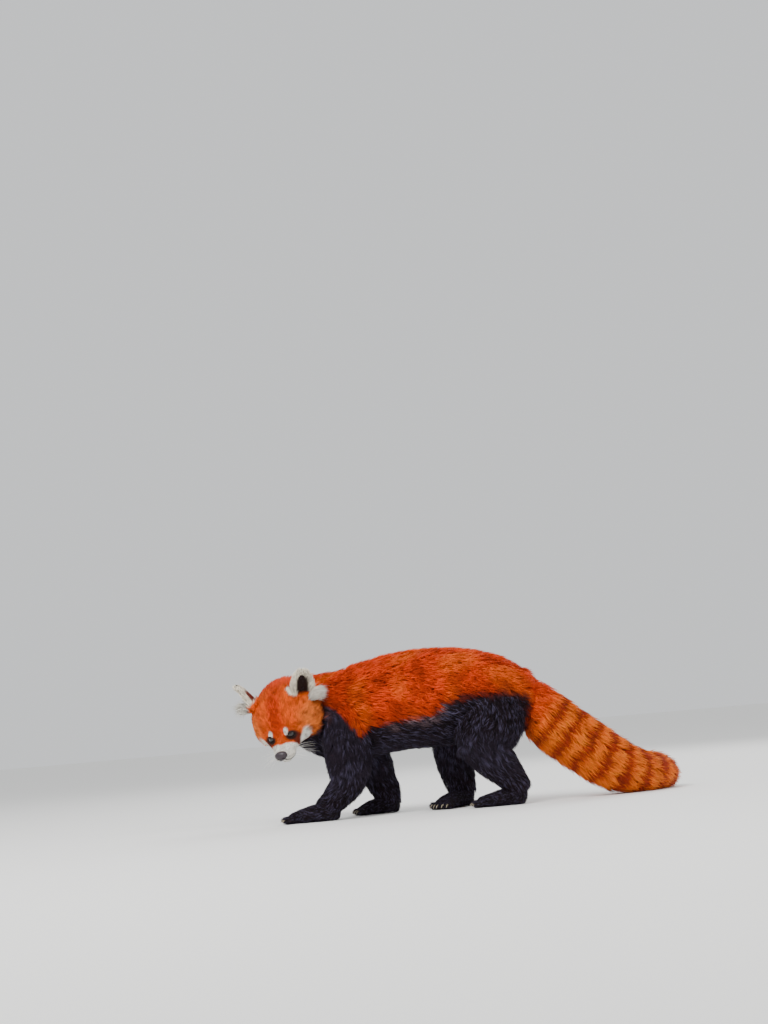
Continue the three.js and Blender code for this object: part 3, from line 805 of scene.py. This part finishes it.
def toe_places(ahead, toes):
    """Where each toe of a paw starts and ends, the middle one furthest forward."""
    forward = unit(np.array([ahead[0], ahead[1], 0.0]))
    across = np.array([-forward[1], forward[0], 0.0])
    out = []
    for i in range(-2, 3):
        root = np.array([toes[0], toes[1], 0.0]) + across * i * TOE_SPACING + forward * (4 - abs(i) * 3.2)
        start = root - forward * 8 + np.array([0, 0, 8.4])
        end = root + forward * 5 + np.array([0, 0, 6.4])
        out.append((start, end))
    return out


def rows_of(items, key, kind=np.float32):
    """One property of a mesh's vertices or triangles, as rows of three numbers."""
    flat = np.empty(len(items) * 3, kind)
    items.foreach_get(key, flat)
    return flat.reshape(-1, 3)


def places_of(mesh):
    return rows_of(mesh.vertices, "co").astype(float)


def layout(points):
    """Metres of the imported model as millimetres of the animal's layout."""
    return points * 1000.0 + SHIFT


# Coat

# A tuft is a curved three-sided spike: a base ring, a middle ring and a tip.
ROOT_DEPTH = 1.2
MIDDLE_SHARE = 0.48
MIDDLE_WIDTH = 0.82
TUFT_FLATNESS = 0.6
TIP_LIFT = 0.25
TUFT_POINTS = 7
TUFT_FACES = np.array(
    [
        [[0, 1, 4], [0, 4, 3], [1, 2, 5]],
        [[1, 5, 4], [2, 0, 3], [2, 3, 5]],
        [[3, 4, 6], [4, 5, 6], [5, 3, 6]],
    ],
    np.int32,
).reshape(-1, 3)
PATCH_SIZE = 0.003
TUFT_UV = np.array([[0, 0], [1, 0], [0.5, 0.4], [0.1, 0.5], [0.9, 0.5], [0.5, 0.7], [0.5, 1]]) * PATCH_SIZE
PANEL_COLUMNS = 5
PANEL_MARGIN = 0.03
PANEL_SHARE = 0.9
# Shades of a tuft's points, from its base ring to its tip: painted shade darkens the base ring, deep in the
# coat, and the tip is lighter.
COAT_SHADES = np.array([0.6, 0.6, 0.6, 1.0, 1.0, 1.0, 1.25])
EAR_TUFT_SHADES = np.array([0.6, 0.6, 0.6, 0.95, 0.95, 0.95, 1.05])
# By the hair's length: how many degrees a tuft stands off the skin, and its width.
HAIR_LENGTHS = [2, 8, 26, 38]
HAIR_LIFTS = [22, 30, 40, 44]
HAIR_WIDTHS = [0.75, 1.15, 2.1, 2.6]
# Clumps of hair: their size on the face and on the body, and how far they and single hairs lean.
FACE_CLUMP, BODY_CLUMP = 6.0, 11.0
CLUMP_COUNT = 65536
CLUMP_PRIMES = np.array([73856093, 19349663, 83492791])
CLUMP_LEAN = 0.22
HAIR_LEAN = 0.13
# Hair on the head runs away from this place in front of the nose.
PARTING = np.array([58.0, 0.0, -10.0])
LOWEST_HAIR = 0.4
BLACK_LIMIT = 0.02
GLINT_CHANCE = 0.22
# No coat piece has more tufts than this, which keeps it under 200,000 triangles.
MOST_TUFTS = 21500


def distances(local, place):
    """How far each place of the head's frame is from one place."""
    return np.linalg.norm(local - place, axis=1)


def hair_length(points, found):
    """Millimetres of hair at each place: longest on the tail, shortest on the face and feet."""
    names, weight = found["names"], found["weight"]
    base = sum(weight[k] * FORMS[n]["hair"] for k, n in enumerate(names) if n in FORMS)
    for name in EARS:
        k = names.index("ear_" + name)
        _, rim, share = ear_place(points, name)
        base += weight[k] * (5 + 4.5 * rim * smooth(0.05, 0.3, share) - 3 * smooth(0.8, 1.0, share))
    tail = names.index("tail")
    base -= 15 * weight[tail] * smooth(340, 420, found["along"][tail])
    local = to_head(points)
    head = weight[names.index("head")]
    face = 3.0 + 12.5 * smooth(14, -44, local[:, 0])
    face = np.minimum(face, 3.2 + 0.55 * np.maximum(0, distances(local, [42, 0, -18]) - 12))
    for side in (-1, 1):
        face = np.minimum(face, 1.6 + 0.32 * np.maximum(0, distances(local, [5, 21 * side, 1]) - 6))
    ruff = smooth(34, 56, np.abs(local[:, 1])) * smooth(12, -14, local[:, 2])
    face += ruff * 8 + jowl_share(local) * 6
    base += head * (face - FORMS["head"]["hair"])
    belly = smooth(150, 118, points[:, 2]) * weight[names.index("torso")]
    base -= 6 * belly
    return base


def jowl_share(local):
    """How far inside the tufted lower cheeks each place of the head's frame is."""
    return sum(spot(local, (-14, 42 * side, -28), (20, 15, 18)) for side in (-1, 1))


def sampled(mesh, count, rng):
    """Random places on a mesh, spread by area and by how fine the coat is there."""
    mesh.calc_loop_triangles()
    tris = rows_of(mesh.loop_triangles, "vertices", np.int32)
    co = places_of(mesh)
    normals = rows_of(mesh.vertices, "normal").astype(float)
    a, b, c = (co[tris[:, k]] for k in range(3))
    area = np.linalg.norm(np.cross(b - a, c - a), axis=1) / 2
    middle = layout((a + b + c) / 3)
    local = to_head(middle)
    # The coat is finer on the head, finest on the face, and finer on the feet. It is sparse on the soles.
    front = smooth(130, 60, distances(local, [0, 0, -5]))
    fine = 1 + 3.2 * front + 4.5 * smooth(62, 34, distances(local, [22, 0, -10]))
    fine += 1.2 * smooth(60, 30, middle[:, 2]) * (middle[:, 0] < 190)
    fine *= np.where(middle[:, 2] < 2.5, 0.25, 1.0)
    chance = area * fine
    pick = rng.choice(len(tris), size=count, p=chance / chance.sum())
    r1, r2 = np.sqrt(rng.random(count)), rng.random(count)
    w = np.stack([1 - r1, r1 * (1 - r2), r1 * r2], 1)
    tri = tris[pick]
    point = sum(co[tri[:, k]] * w[:, k : k + 1] for k in range(3))
    normal = unit(sum(normals[tri[:, k]] * w[:, k : k + 1] for k in range(3)))
    return layout(point), normal, fine[pick]


def tuft_arrays(root, lift, lie, normal, length, width, rng):
    """The points of each tuft, which leaves the skin at its lift and bends down towards its tip."""
    first = unit(lie * np.cos(lift)[:, None] + normal * np.sin(lift)[:, None])
    second = unit(lie * np.cos(lift * TIP_LIFT)[:, None] + normal * np.sin(lift * TIP_LIFT)[:, None])
    start = root - normal * ROOT_DEPTH
    middle = root + first * (length * MIDDLE_SHARE)[:, None]
    tip = middle + second * (length * (1 - MIDDLE_SHARE))[:, None]
    side = unit(np.cross(normal, first))
    over = np.cross(first, side)
    spin = rng.uniform(-0.7, 0.7, len(root))
    verts = np.empty((len(root), TUFT_POINTS, 3))
    for ring, (centre, size) in enumerate(((start, 1.0), (middle, MIDDLE_WIDTH))):
        for k in range(3):
            angle = spin + k * 2 * math.pi / 3
            out = side * np.cos(angle)[:, None] + over * (TUFT_FLATNESS * np.sin(angle))[:, None]
            verts[:, ring * 3 + k] = centre + out * (width * size / 2)[:, None]
    verts[:, 6] = tip
    return verts


def unwrap(found):
    """Each place on an unwrap of the body's own shape: one panel for each form, along it and round it."""
    owner = found["owner"]
    rows = np.arange(len(owner))
    lengths = np.maximum(found["along"].max(1), 1)
    share = np.clip(found["along"][owner, rows] / lengths[owner], 0, 1)
    turn = (found["turn"][owner, rows] + math.pi) / (2 * math.pi)
    panel = np.stack([owner % PANEL_COLUMNS, owner // PANEL_COLUMNS], 1)
    return (panel + PANEL_MARGIN + PANEL_SHARE * np.stack([share, turn], 1)) * (1.0 / PANEL_COLUMNS)


def tuft_piece(name, verts, colours, patches):
    """One coat piece, from the places of its tufts' points, their colours and their patches."""
    count = len(verts)
    mesh = bpy.data.meshes.new(name)
    mesh.vertices.add(count * TUFT_POINTS)
    mesh.vertices.foreach_set("co", placed(verts.reshape(-1, 3)).astype(np.float32).ravel())
    faces = (TUFT_FACES[None] + (np.arange(count) * TUFT_POINTS)[:, None, None]).reshape(-1)
    mesh.loops.add(len(faces))
    mesh.loops.foreach_set("vertex_index", faces.astype(np.int32))
    mesh.polygons.add(len(faces) // 3)
    mesh.polygons.foreach_set("loop_start", np.arange(0, len(faces), 3, dtype=np.int32))
    mesh.update(calc_edges=True)
    mesh.shade_smooth()
    with_colours(mesh, colours.reshape(-1, 3))
    uv = mesh.uv_layers.new(name="OFBake")
    corners = (patches[:, None] + TUFT_UV[None]).reshape(-1, 2)[faces]
    uv.data.foreach_set("uv", corners.astype(np.float32).ravel())
    mesh.materials.append(material("guard_hair"))
    return piece(name, mesh)


# Each coat piece: its slot, and the forms and ears that it covers.
COAT_PIECES = {
    "coat_head": ("face_fur", ("head", "ear_left", "ear_right")),
    "coat_neck": ("dark_fur", ("neck",)),
    "coat_torso": ("red_fur", ("torso",)),
    "coat_tail": ("red_fur", ("tail",)),
    "coat_fore_legs": ("dark_fur", tuple(name for name in FORMS if name.startswith("fore_"))),
    "coat_hind_legs": ("dark_fur", tuple(name for name in FORMS if name.startswith("hind_"))),
}


def combed(root, normal, found):
    """The way the coat lies at each place, before clumps and single hairs lean."""
    names, weight = found["names"], found["weight"]
    lie = (weight[:, :, None] * found["ways"]).sum(0)
    flank = weight[names.index("torso")] + weight[names.index("neck")]
    lie[:, 2] -= 0.42 * flank * (1 - np.abs(normal[:, 2]))
    lie[:, 2] -= 0.15 * weight[names.index("tail")]
    # Hair runs back from the nose, and out and down over the cheeks.
    local = to_head(root)
    away = unit(local - PARTING) @ HEAD_AXES.T
    head = weight[names.index("head")]
    lie += away * (2.2 * head)[:, None]
    back, out, low = np.full(len(root), -0.1), 0.5 * np.sign(local[:, 1]), np.full(len(root), -1.3)
    down = np.stack([back, out, low], 1) @ HEAD_AXES.T
    return lie + down * (2.4 * head * jowl_share(local))[:, None]


def clump_of(root, head):
    """The number of the clump that each hair gathers into."""
    size = np.where(head > 0.5, FACE_CLUMP, BODY_CLUMP)[:, None]
    cell = np.floor(root / size + 0.5 * noise(root, 30, 2)[:, None]).astype(int)
    a, b, c = (cell * CLUMP_PRIMES).T
    return (a ^ b ^ c) % CLUMP_COUNT


def coat_colours(verts, found, shade, rng):
    """The colours of each tuft's points: the markings, varied by clump and by hair."""
    names = found["names"]
    head = found["weight"][names.index("head")]
    # The markings are read at the middle of each tuft, and an ear keeps its own at the root.
    mark = verts[:, 3:].mean(1)
    seen = survey(mark)
    on_ear = np.isin(found["owner"], [names.index("ear_" + n) for n in EARS])
    seen["weight"][:, on_ear] = found["weight"][:, on_ear]
    base = colours_at(mark, seen)
    base *= (1 + (0.2 + 0.12 * head) * shade + rng.uniform(-0.16, 0.16, len(verts)))[:, None]
    # Some black hairs are painted grey, as a painted glint of sheen.
    dark = base.max(1) < BLACK_LIMIT
    glint = (rng.random(len(verts)) < GLINT_CHANCE) & dark
    base = np.where(glint[:, None], base * 0.4 + PAINTED_SHEEN_GREY * 0.6, base)
    # Painted shade darkens each tuft towards its base ring.
    return np.clip(base[:, None] * COAT_SHADES[None, :, None], 0, 1)


# The add-on's settings and operators


def coat_colour(name, description, hex_colour):
    """A colour setting, from its sRGB hex default."""
    return FloatVectorProperty(
        name=name,
        description=description,
        subtype="COLOR",
        default=linear(hex_colour).tolist(),
        min=0,
        max=1,
    )


class RedPandaSettings(bpy.types.PropertyGroup):
    """The sizes and colours that a user may change before building."""

    voxel: FloatProperty(
        name="Skin voxel",
        description="Edge of the voxels that fuse the skin",
        default=0.0026,
        min=0.001,
        max=0.01,
        unit="LENGTH",
    )
    tufts: IntProperty(
        name="Tufts",
        description="How many tufts of hair the coat has",
        default=150000,
        min=1000,
        max=200000,
    )
    seed: IntProperty(name="Seed", description="Seed of the coat's random draws", default=7, min=0)
    rust: coat_colour("Rust", "Red of the back, flanks and nape", "#d84108")
    black: coat_colour("Black", "Near black of the legs, belly and throat", "#1b0f17")
    white: coat_colour("White", "White of the muzzle, brows, cheeks and ears", "#ece6da")
    ring: coat_colour("Rings", "Dark red of the rings round the tail", "#9c3010")


class REDPANDA_OT_skin(bpy.types.Operator):
    """Build the one skin under the coat, in place of the model's nodes of flesh"""

    bl_idname = "redpanda.skin"
    bl_label = "Skin"

    def execute(self, context):
        mesh = skin_mesh(context.scene.red_panda.voxel)
        mesh.name = "skin"
        points = layout(places_of(mesh))
        points[:, 2] = np.maximum(points[:, 2], LOWEST_SKIN)
        mesh.vertices.foreach_set("co", placed(points).astype(np.float32).ravel())
        found = survey(points)
        # The skin carries the markings, darkened by painted shade under the coat.
        with_colours(mesh, colours_at(points, found) * UNDERFUR_PAINTED_SHADE)
        mesh.shade_smooth()
        mesh.materials.clear()
        mesh.materials.append(material("underfur"))
        skin = piece("skin", mesh)
        flesh = [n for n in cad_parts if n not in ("nose", "eye_left", "eye_right")]
        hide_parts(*flesh)
        return {"FINISHED"}


class REDPANDA_OT_coat(bpy.types.Operator):
    """Cover the skin with tufts of hair that follow the lie of the coat"""

    bl_idname = "redpanda.coat"
    bl_label = "Coat"

    def execute(self, context):
        settings = context.scene.red_panda
        rng = np.random.default_rng(settings.seed)
        count = settings.tufts
        root, normal, fine = sampled(bpy.data.objects["skin"].data, count, rng)
        found = survey(root)
        names = found["names"]
        # Neighbouring hairs gather into clumps that lean a little their own way.
        clump = clump_of(root, found["weight"][names.index("head")])
        lean = rng.normal(size=(CLUMP_COUNT, 3)) * CLUMP_LEAN
        shade = rng.uniform(-1, 1, CLUMP_COUNT)
        lie = combed(root, normal, found) + lean[clump] + rng.normal(size=root.shape) * HAIR_LEAN
        lie -= normal * (lie * normal).sum(1)[:, None]
        length = hair_length(root, found) * rng.uniform(0.75, 1.15, count)
        lift = np.radians(np.interp(length, HAIR_LENGTHS, HAIR_LIFTS)) * rng.uniform(0.75, 1.2, count)
        width = np.interp(length, HAIR_LENGTHS, HAIR_WIDTHS) * rng.uniform(0.8, 1.2, count) / fine**0.12
        verts = tuft_arrays(root, lift, unit(lie), normal, length, width, rng)
        # Nothing reaches the floor, and a tuft that would is flattened just above it.
        low = verts[:, :, 2] < LOWEST_HAIR
        verts[:, :, 2] = np.where(low, LOWEST_HAIR + 0.02 * np.arange(TUFT_POINTS), verts[:, :, 2])
        colours = coat_colours(verts, found, shade[clump], rng)
        patches = unwrap(found)
        for name, (slot, members) in COAT_PIECES.items():
            rows = np.nonzero(np.isin(found["owner"], [names.index(m) for m in members]))[0]
            parts = max(1, math.ceil(len(rows) / MOST_TUFTS))
            order = rows[np.argsort(root[rows, 0])]
            for part, chosen in enumerate(np.array_split(order, parts)):
                label = name if parts == 1 else f"{name}_{part + 1}"
                tuft_piece(label, verts[chosen], colours[chosen], patches[chosen])
        return {"FINISHED"}


EAR_TUFTS = 620


class REDPANDA_OT_ear_tufts(bpy.types.Operator):
    """Hang the long white tufts from the outer corner of each ear"""

    bl_idname = "redpanda.ear_tufts"
    bl_label = "Ear tufts"

    def execute(self, context):
        rng = np.random.default_rng(context.scene.red_panda.seed + 5)
        for name, ear in EARS.items():
            side = ear["side"]
            shape = (EAR_TUFTS, 3)
            root = np.array(ear["base"]) + [-1, 13 * side, -5] + rng.normal(size=shape) * [4.5, 3, 2.5]
            lie = unit(np.array([-0.3, 0.75 * side, -0.58]) + rng.normal(size=shape) * 0.2)
            normal = unit(np.array([-0.1, 0.6 * side, 0.78]) + rng.normal(size=shape) * 0.1)
            normal = unit(normal - lie * (lie * normal).sum(1)[:, None])
            root, lie, normal = from_head(root), lie @ HEAD_AXES.T, normal @ HEAD_AXES.T
            length = rng.uniform(22, 36, EAR_TUFTS)
            lift = rng.uniform(0.7, 1.0, EAR_TUFTS)
            width = rng.uniform(1.2, 1.9, EAR_TUFTS)
            verts = tuft_arrays(root, lift, lie, normal, length, width, rng)
            # Painted shade darkens each ear tuft towards its base ring.
            shades = rng.uniform(0.8, 1.05, EAR_TUFTS)[:, None] * EAR_TUFT_SHADES
            colours = np.clip(tone("white") * shades[:, :, None], 0, 1)
            tuft_piece(f"ear_tuft_{name}", verts, colours, unwrap(survey(root)))
        return {"FINISHED"}


# The lids: their gap to the ball, and how far the upper and the lower one stay open, in radians.
LID_GAP = 0.9
UPPER_OPENING = 0.46
LOWER_OPENING = 0.4


class REDPANDA_OT_eyes(bpy.types.Operator):
    """Build the eyes, with an upper and a lower lid round each"""

    bl_idname = "redpanda.eyes"
    bl_label = "Eyes and lids"

    def execute(self, context):
        for name, side in (("left", 1), ("right", -1)):
            bm = bmesh.new()
            ball(bm, eye_centre(side), (EYE_RADIUS,) * 3, head=True)
            eye = finished(f"eyeball_{name}", bm, material("eye"))
            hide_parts(f"eye_{name}")
            bm = bmesh.new()
            self.lid(bm, side, 1, UPPER_OPENING)
            self.lid(bm, side, -1, LOWER_OPENING)
            finished(f"lids_{name}", bm, material("lid_skin"))
        return {"FINISHED"}

    def lid(self, bm, side, way, opening):
        """A shell over the ball, cut along the edge of the eye's opening."""
        axis = eye_axis(side)
        across = unit(np.cross([0, 0, 1], axis))
        over = np.cross(axis, across) * way
        centre = eye_centre(side)
        made = ball(bm, centre, (EYE_RADIUS + LID_GAP,) * 3, head=True)
        geom = list(made) + list(dict.fromkeys(e for v in made for e in v.link_edges))
        geom += list(dict.fromkeys(f for v in made for f in v.link_faces))
        cut = over * math.cos(opening) - axis * math.sin(opening)
        place = placed(from_head(centre))
        bmesh.ops.bisect_plane(
            bm, geom=geom, plane_co=place, plane_no=HEAD_AXES @ cut, clear_inner=True, clear_outer=False
        )


# The left nostril: the place, reach and depth of its hole and of the slit beside it.
HOLE_PLACE, HOLE_REACH, HOLE_DEPTH = (46.5, 4.6, -16.8), [5, 2.6, 2.0], 3.4
SLIT_PLACE, SLIT_REACH, SLIT_DEPTH = (43.0, 8.6, -16.2), [5, 3.4, 1.1], 1.6
GROOVE_DEPTH = 1.1


class REDPANDA_OT_nose(bpy.types.Operator):
    """Build the nose pad with its nostrils"""

    bl_idname = "redpanda.nose"
    bl_label = "Nose"

    def execute(self, context):
        bm = bmesh.new()
        made = bmesh.ops.create_uvsphere(bm, u_segments=64, v_segments=40, radius=1)["verts"]
        unit_places = np.array([v.co for v in made])
        places = unit_places * NOSE_RADII + NOSE_CENTRE
        places[:, 1] *= 1 + 0.12 * smooth(0, 0.8, unit_places[:, 2])
        places[:, 1] *= 1 - 0.28 * smooth(0, -0.9, unit_places[:, 2])
        for side in (-1, 1):
            hole = np.array(HOLE_PLACE) * [1, side, 1]
            reach = np.linalg.norm((places - hole) / HOLE_REACH, axis=1)
            places[:, 0] -= HOLE_DEPTH * (1 - smooth(0.5, 1.15, reach))
            slit = np.array(SLIT_PLACE) * [1, side, 1]
            reach = np.linalg.norm((places - slit) / SLIT_REACH, axis=1)
            places -= unit(places - NOSE_CENTRE) * (SLIT_DEPTH * (1 - smooth(0.5, 1.2, reach)))[:, None]
        groove = (1 - smooth(0.3, 1.1, np.abs(places[:, 1]))) * smooth(-15, -18, places[:, 2])
        places[:, 0] -= GROOVE_DEPTH * groove
        for vert, place in zip(made, placed(from_head(places))):
            vert.co = place
        nose = finished("nose_pad", bm, material("nose_leather"))
        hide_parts("nose")
        return {"FINISHED"}


# The left half of the lips' line, from its corner to under the nose.
MOUTH_LINE = [[18, 23, -30], [26, 18, -31.5], [34, 11, -31], [40, 4, -28], [42, 0, -25]]
MOUTH_STEPS = 40
MOUTH_RADII = [0.0003, 0.0009, 0.0009, 0.0003]
MOUTH_ABOVE_SKIN = 0.0006


class REDPANDA_OT_mouth(bpy.types.Operator):
    """Build the line of the lips, from under the nose back along each side"""

    bl_idname = "redpanda.mouth"
    bl_label = "Mouth"

    def execute(self, context):
        skin = bpy.data.objects["skin"].data
        faces = [p.vertices[:] for p in skin.polygons]
        surface = BVHTree.FromPolygons([v.co for v in skin.vertices], faces)
        right = [[x, -y, z] for x, y, z in reversed(MOUTH_LINE[:-1])]
        path, _ = spline(MOUTH_LINE + right, MOUTH_STEPS)
        places = []
        for place in placed(from_head(path)):
            hit, normal, _, _ = surface.find_nearest(Vector(place))
            places.append(np.array(hit) + np.array(normal) * MOUTH_ABOVE_SKIN)
        last = MOUTH_STEPS - 1
        radius = np.interp(np.arange(MOUTH_STEPS), [0, 4, last - 4, last], MOUTH_RADII)
        bm = bmesh.new()
        loft(bm, tube_rings(np.array(places), radius))
        finished("mouth_line", bm, material("lip_skin"))
        return {"FINISHED"}


CLAW_STEPS = 9
CLAW_RADII = (1.8, 0.3)


class REDPANDA_OT_claws(bpy.types.Operator):
    """Build the curved claws, five on each foot"""

    bl_idname = "redpanda.claws"
    bl_label = "Claws"

    def execute(self, context):
        for name, (*_, ahead, toes) in LEGS.items():
            bm = bmesh.new()
            forward = unit(np.array([ahead[0], ahead[1], 0.0]))
            for _, end in toe_places(ahead, toes):
                root = end + forward * -2 + np.array([0, 0, 2.4])
                bend = root + forward * 6 + [0, 0, -0.6]
                point = root + forward * 9.5 + [0, 0, -5.6]
                path, _ = spline([root, bend, point], CLAW_STEPS)
                radius = np.linspace(*CLAW_RADII, CLAW_STEPS)
                loft(bm, [placed(r) for r in tube_rings(path, radius, 10)])
            finished(f"claws_{name}", bm, material("claw_horn"))
        return {"FINISHED"}


WHISKER_SEED = 21
WHISKERS_A_SIDE = 11
WHISKERS_A_ROW = 4
WHISKER_LENGTHS = (30, 46)
WHISKER_RADII = (0.26, 0.06)
WHISKER_STEPS = 10
WHISKER_DROOP = [-4, 0, -7]


class REDPANDA_OT_whiskers(bpy.types.Operator):
    """Build the whiskers of the muzzle"""

    bl_idname = "redpanda.whiskers"
    bl_label = "Whiskers"

    def execute(self, context):
        rng = np.random.default_rng(WHISKER_SEED)
        bm = bmesh.new()
        for side in (-1, 1):
            for i in range(WHISKERS_A_SIDE):
                row, column = divmod(i, WHISKERS_A_ROW)
                root = np.array([30 - 5 * column, (15 + 1.6 * column) * side, -20 - 4.2 * row])
                fall = -0.18 - 0.16 * row + rng.uniform(-0.1, 0.1)
                out = unit(np.array([0.15 - 0.22 * column, 1.0 * side, fall]))
                length = rng.uniform(*WHISKER_LENGTHS)
                path = [root, root + out * length * 0.5, root + out * length + WHISKER_DROOP]
                line, _ = spline(path, WHISKER_STEPS)
                rings = tube_rings(from_head(line), np.linspace(*WHISKER_RADII, WHISKER_STEPS), 5)
                loft(bm, [placed(r) for r in rings])
        finished("whiskers", bm, material("whisker"))
        return {"FINISHED"}


FLOOR_HALF_SIDE = 30
# Each soft light, in metres and watts: its name, place, side and power.
LIGHTS = (
    ("key", (-1.1, -1.7, 2.3), 1.4, 66),
    ("fill", (1.9, -1.6, 1.3), 2.2, 24),
    ("rim", (0.9, 1.9, 1.9), 1.6, 30),
)
LIT_PLACE = Vector((0, 0, 0.12))
# The camera: its place in the animal's layout, its yaw, pitch and roll in degrees, and its lens.
CAMERA_PLACE = (0.0, -2995.889, 157.008)
CAMERA_TURN = (-0.7034, 7.7503, 5.0)
SENSOR_WIDTH = 36
LENS = 55.8


class REDPANDA_OT_stage(bpy.types.Operator):
    """Build the floor, the light and the camera"""

    bl_idname = "redpanda.stage"
    bl_label = "Stage"

    def execute(self, context):
        scene = context.scene
        bm = bmesh.new()
        bmesh.ops.create_grid(bm, x_segments=1, y_segments=1, size=FLOOR_HALF_SIDE)
        mesh = bpy.data.meshes.new("floor")
        bm.to_mesh(mesh)
        bm.free()
        # Matt painted studio floor
        mesh.materials.append(new_material("studio_floor", linear("#f6f5f2"), 0.9))
        lights = [linked("floor", mesh)]
        for name, place, size, power in LIGHTS:
            data = bpy.data.lights.new(name, "AREA")
            data.size = size
            data.energy = power
            lamp = linked(name, data)
            lamp.location = place
            lamp.rotation_euler = (LIT_PLACE - Vector(place)).to_track_quat("-Z", "Y").to_euler()
            lights.append(lamp)
        world = bpy.data.worlds.new("studio")
        world.use_nodes = True
        background = world.node_tree.nodes["Background"]
        background.inputs["Color"].default_value = (*linear("#eceef0"), 1)
        background.inputs["Strength"].default_value = 1.0
        scene.world = world
        data = bpy.data.cameras.new("camera")
        data.sensor_width = SENSOR_WIDTH
        data.lens = LENS
        camera = linked("camera", data)
        camera.matrix_world = camera_matrix()
        scene.camera = camera
        return {"FINISHED"}


def camera_matrix():
    """The picture's point of view: 3 m from the animal's left side, a little above the floor."""
    yaw, pitch, roll = (math.radians(turn) for turn in CAMERA_TURN)
    ahead = np.array([math.sin(yaw) * math.cos(pitch), math.cos(yaw) * math.cos(pitch), math.sin(pitch)])
    right = np.array([math.cos(yaw), -math.sin(yaw), 0.0])
    up = np.cross(right, ahead)
    right, up = right * math.cos(roll) - up * math.sin(roll), right * math.sin(roll) + up * math.cos(roll)
    columns = np.stack([right, up, -ahead, placed(CAMERA_PLACE)], 1)
    return Matrix([*columns.tolist(), [0, 0, 0, 1]])


class REDPANDA_PT_panel(bpy.types.Panel):
    """Settings and buttons for the red panda"""

    bl_idname = "REDPANDA_PT_panel"
    bl_label = "Red Panda"
    bl_space_type = "VIEW_3D"
    bl_region_type = "UI"
    bl_category = "Red Panda"

    def draw(self, context):
        settings = context.scene.red_panda
        for name in ("voxel", "tufts", "seed", "rust", "black", "white", "ring"):
            self.layout.prop(settings, name)
        for operator in OPERATORS:
            self.layout.operator(operator.bl_idname)


OPERATORS = (
    REDPANDA_OT_skin,
    REDPANDA_OT_coat,
    REDPANDA_OT_ear_tufts,
    REDPANDA_OT_eyes,
    REDPANDA_OT_nose,
    REDPANDA_OT_mouth,
    REDPANDA_OT_claws,
    REDPANDA_OT_whiskers,
    REDPANDA_OT_stage,
)
CLASSES = (RedPandaSettings, *OPERATORS, REDPANDA_PT_panel)


def register():
    for cls in CLASSES:
        bpy.utils.register_class(cls)
    bpy.types.Scene.red_panda = bpy.props.PointerProperty(type=RedPandaSettings)


def unregister():
    del bpy.types.Scene.red_panda
    for cls in reversed(CLASSES):
        bpy.utils.unregister_class(cls)


def main():
    """Build the animal and its stage."""
    register()
    bpy.ops.redpanda.skin()
    bpy.ops.redpanda.coat()
    bpy.ops.redpanda.ear_tufts()
    bpy.ops.redpanda.eyes()
    bpy.ops.redpanda.nose()
    bpy.ops.redpanda.mouth()
    bpy.ops.redpanda.claws()
    bpy.ops.redpanda.whiskers()
    bpy.ops.redpanda.stage()
    bpy.context.view_layer.update()


if __name__ == "__main__":
    main()
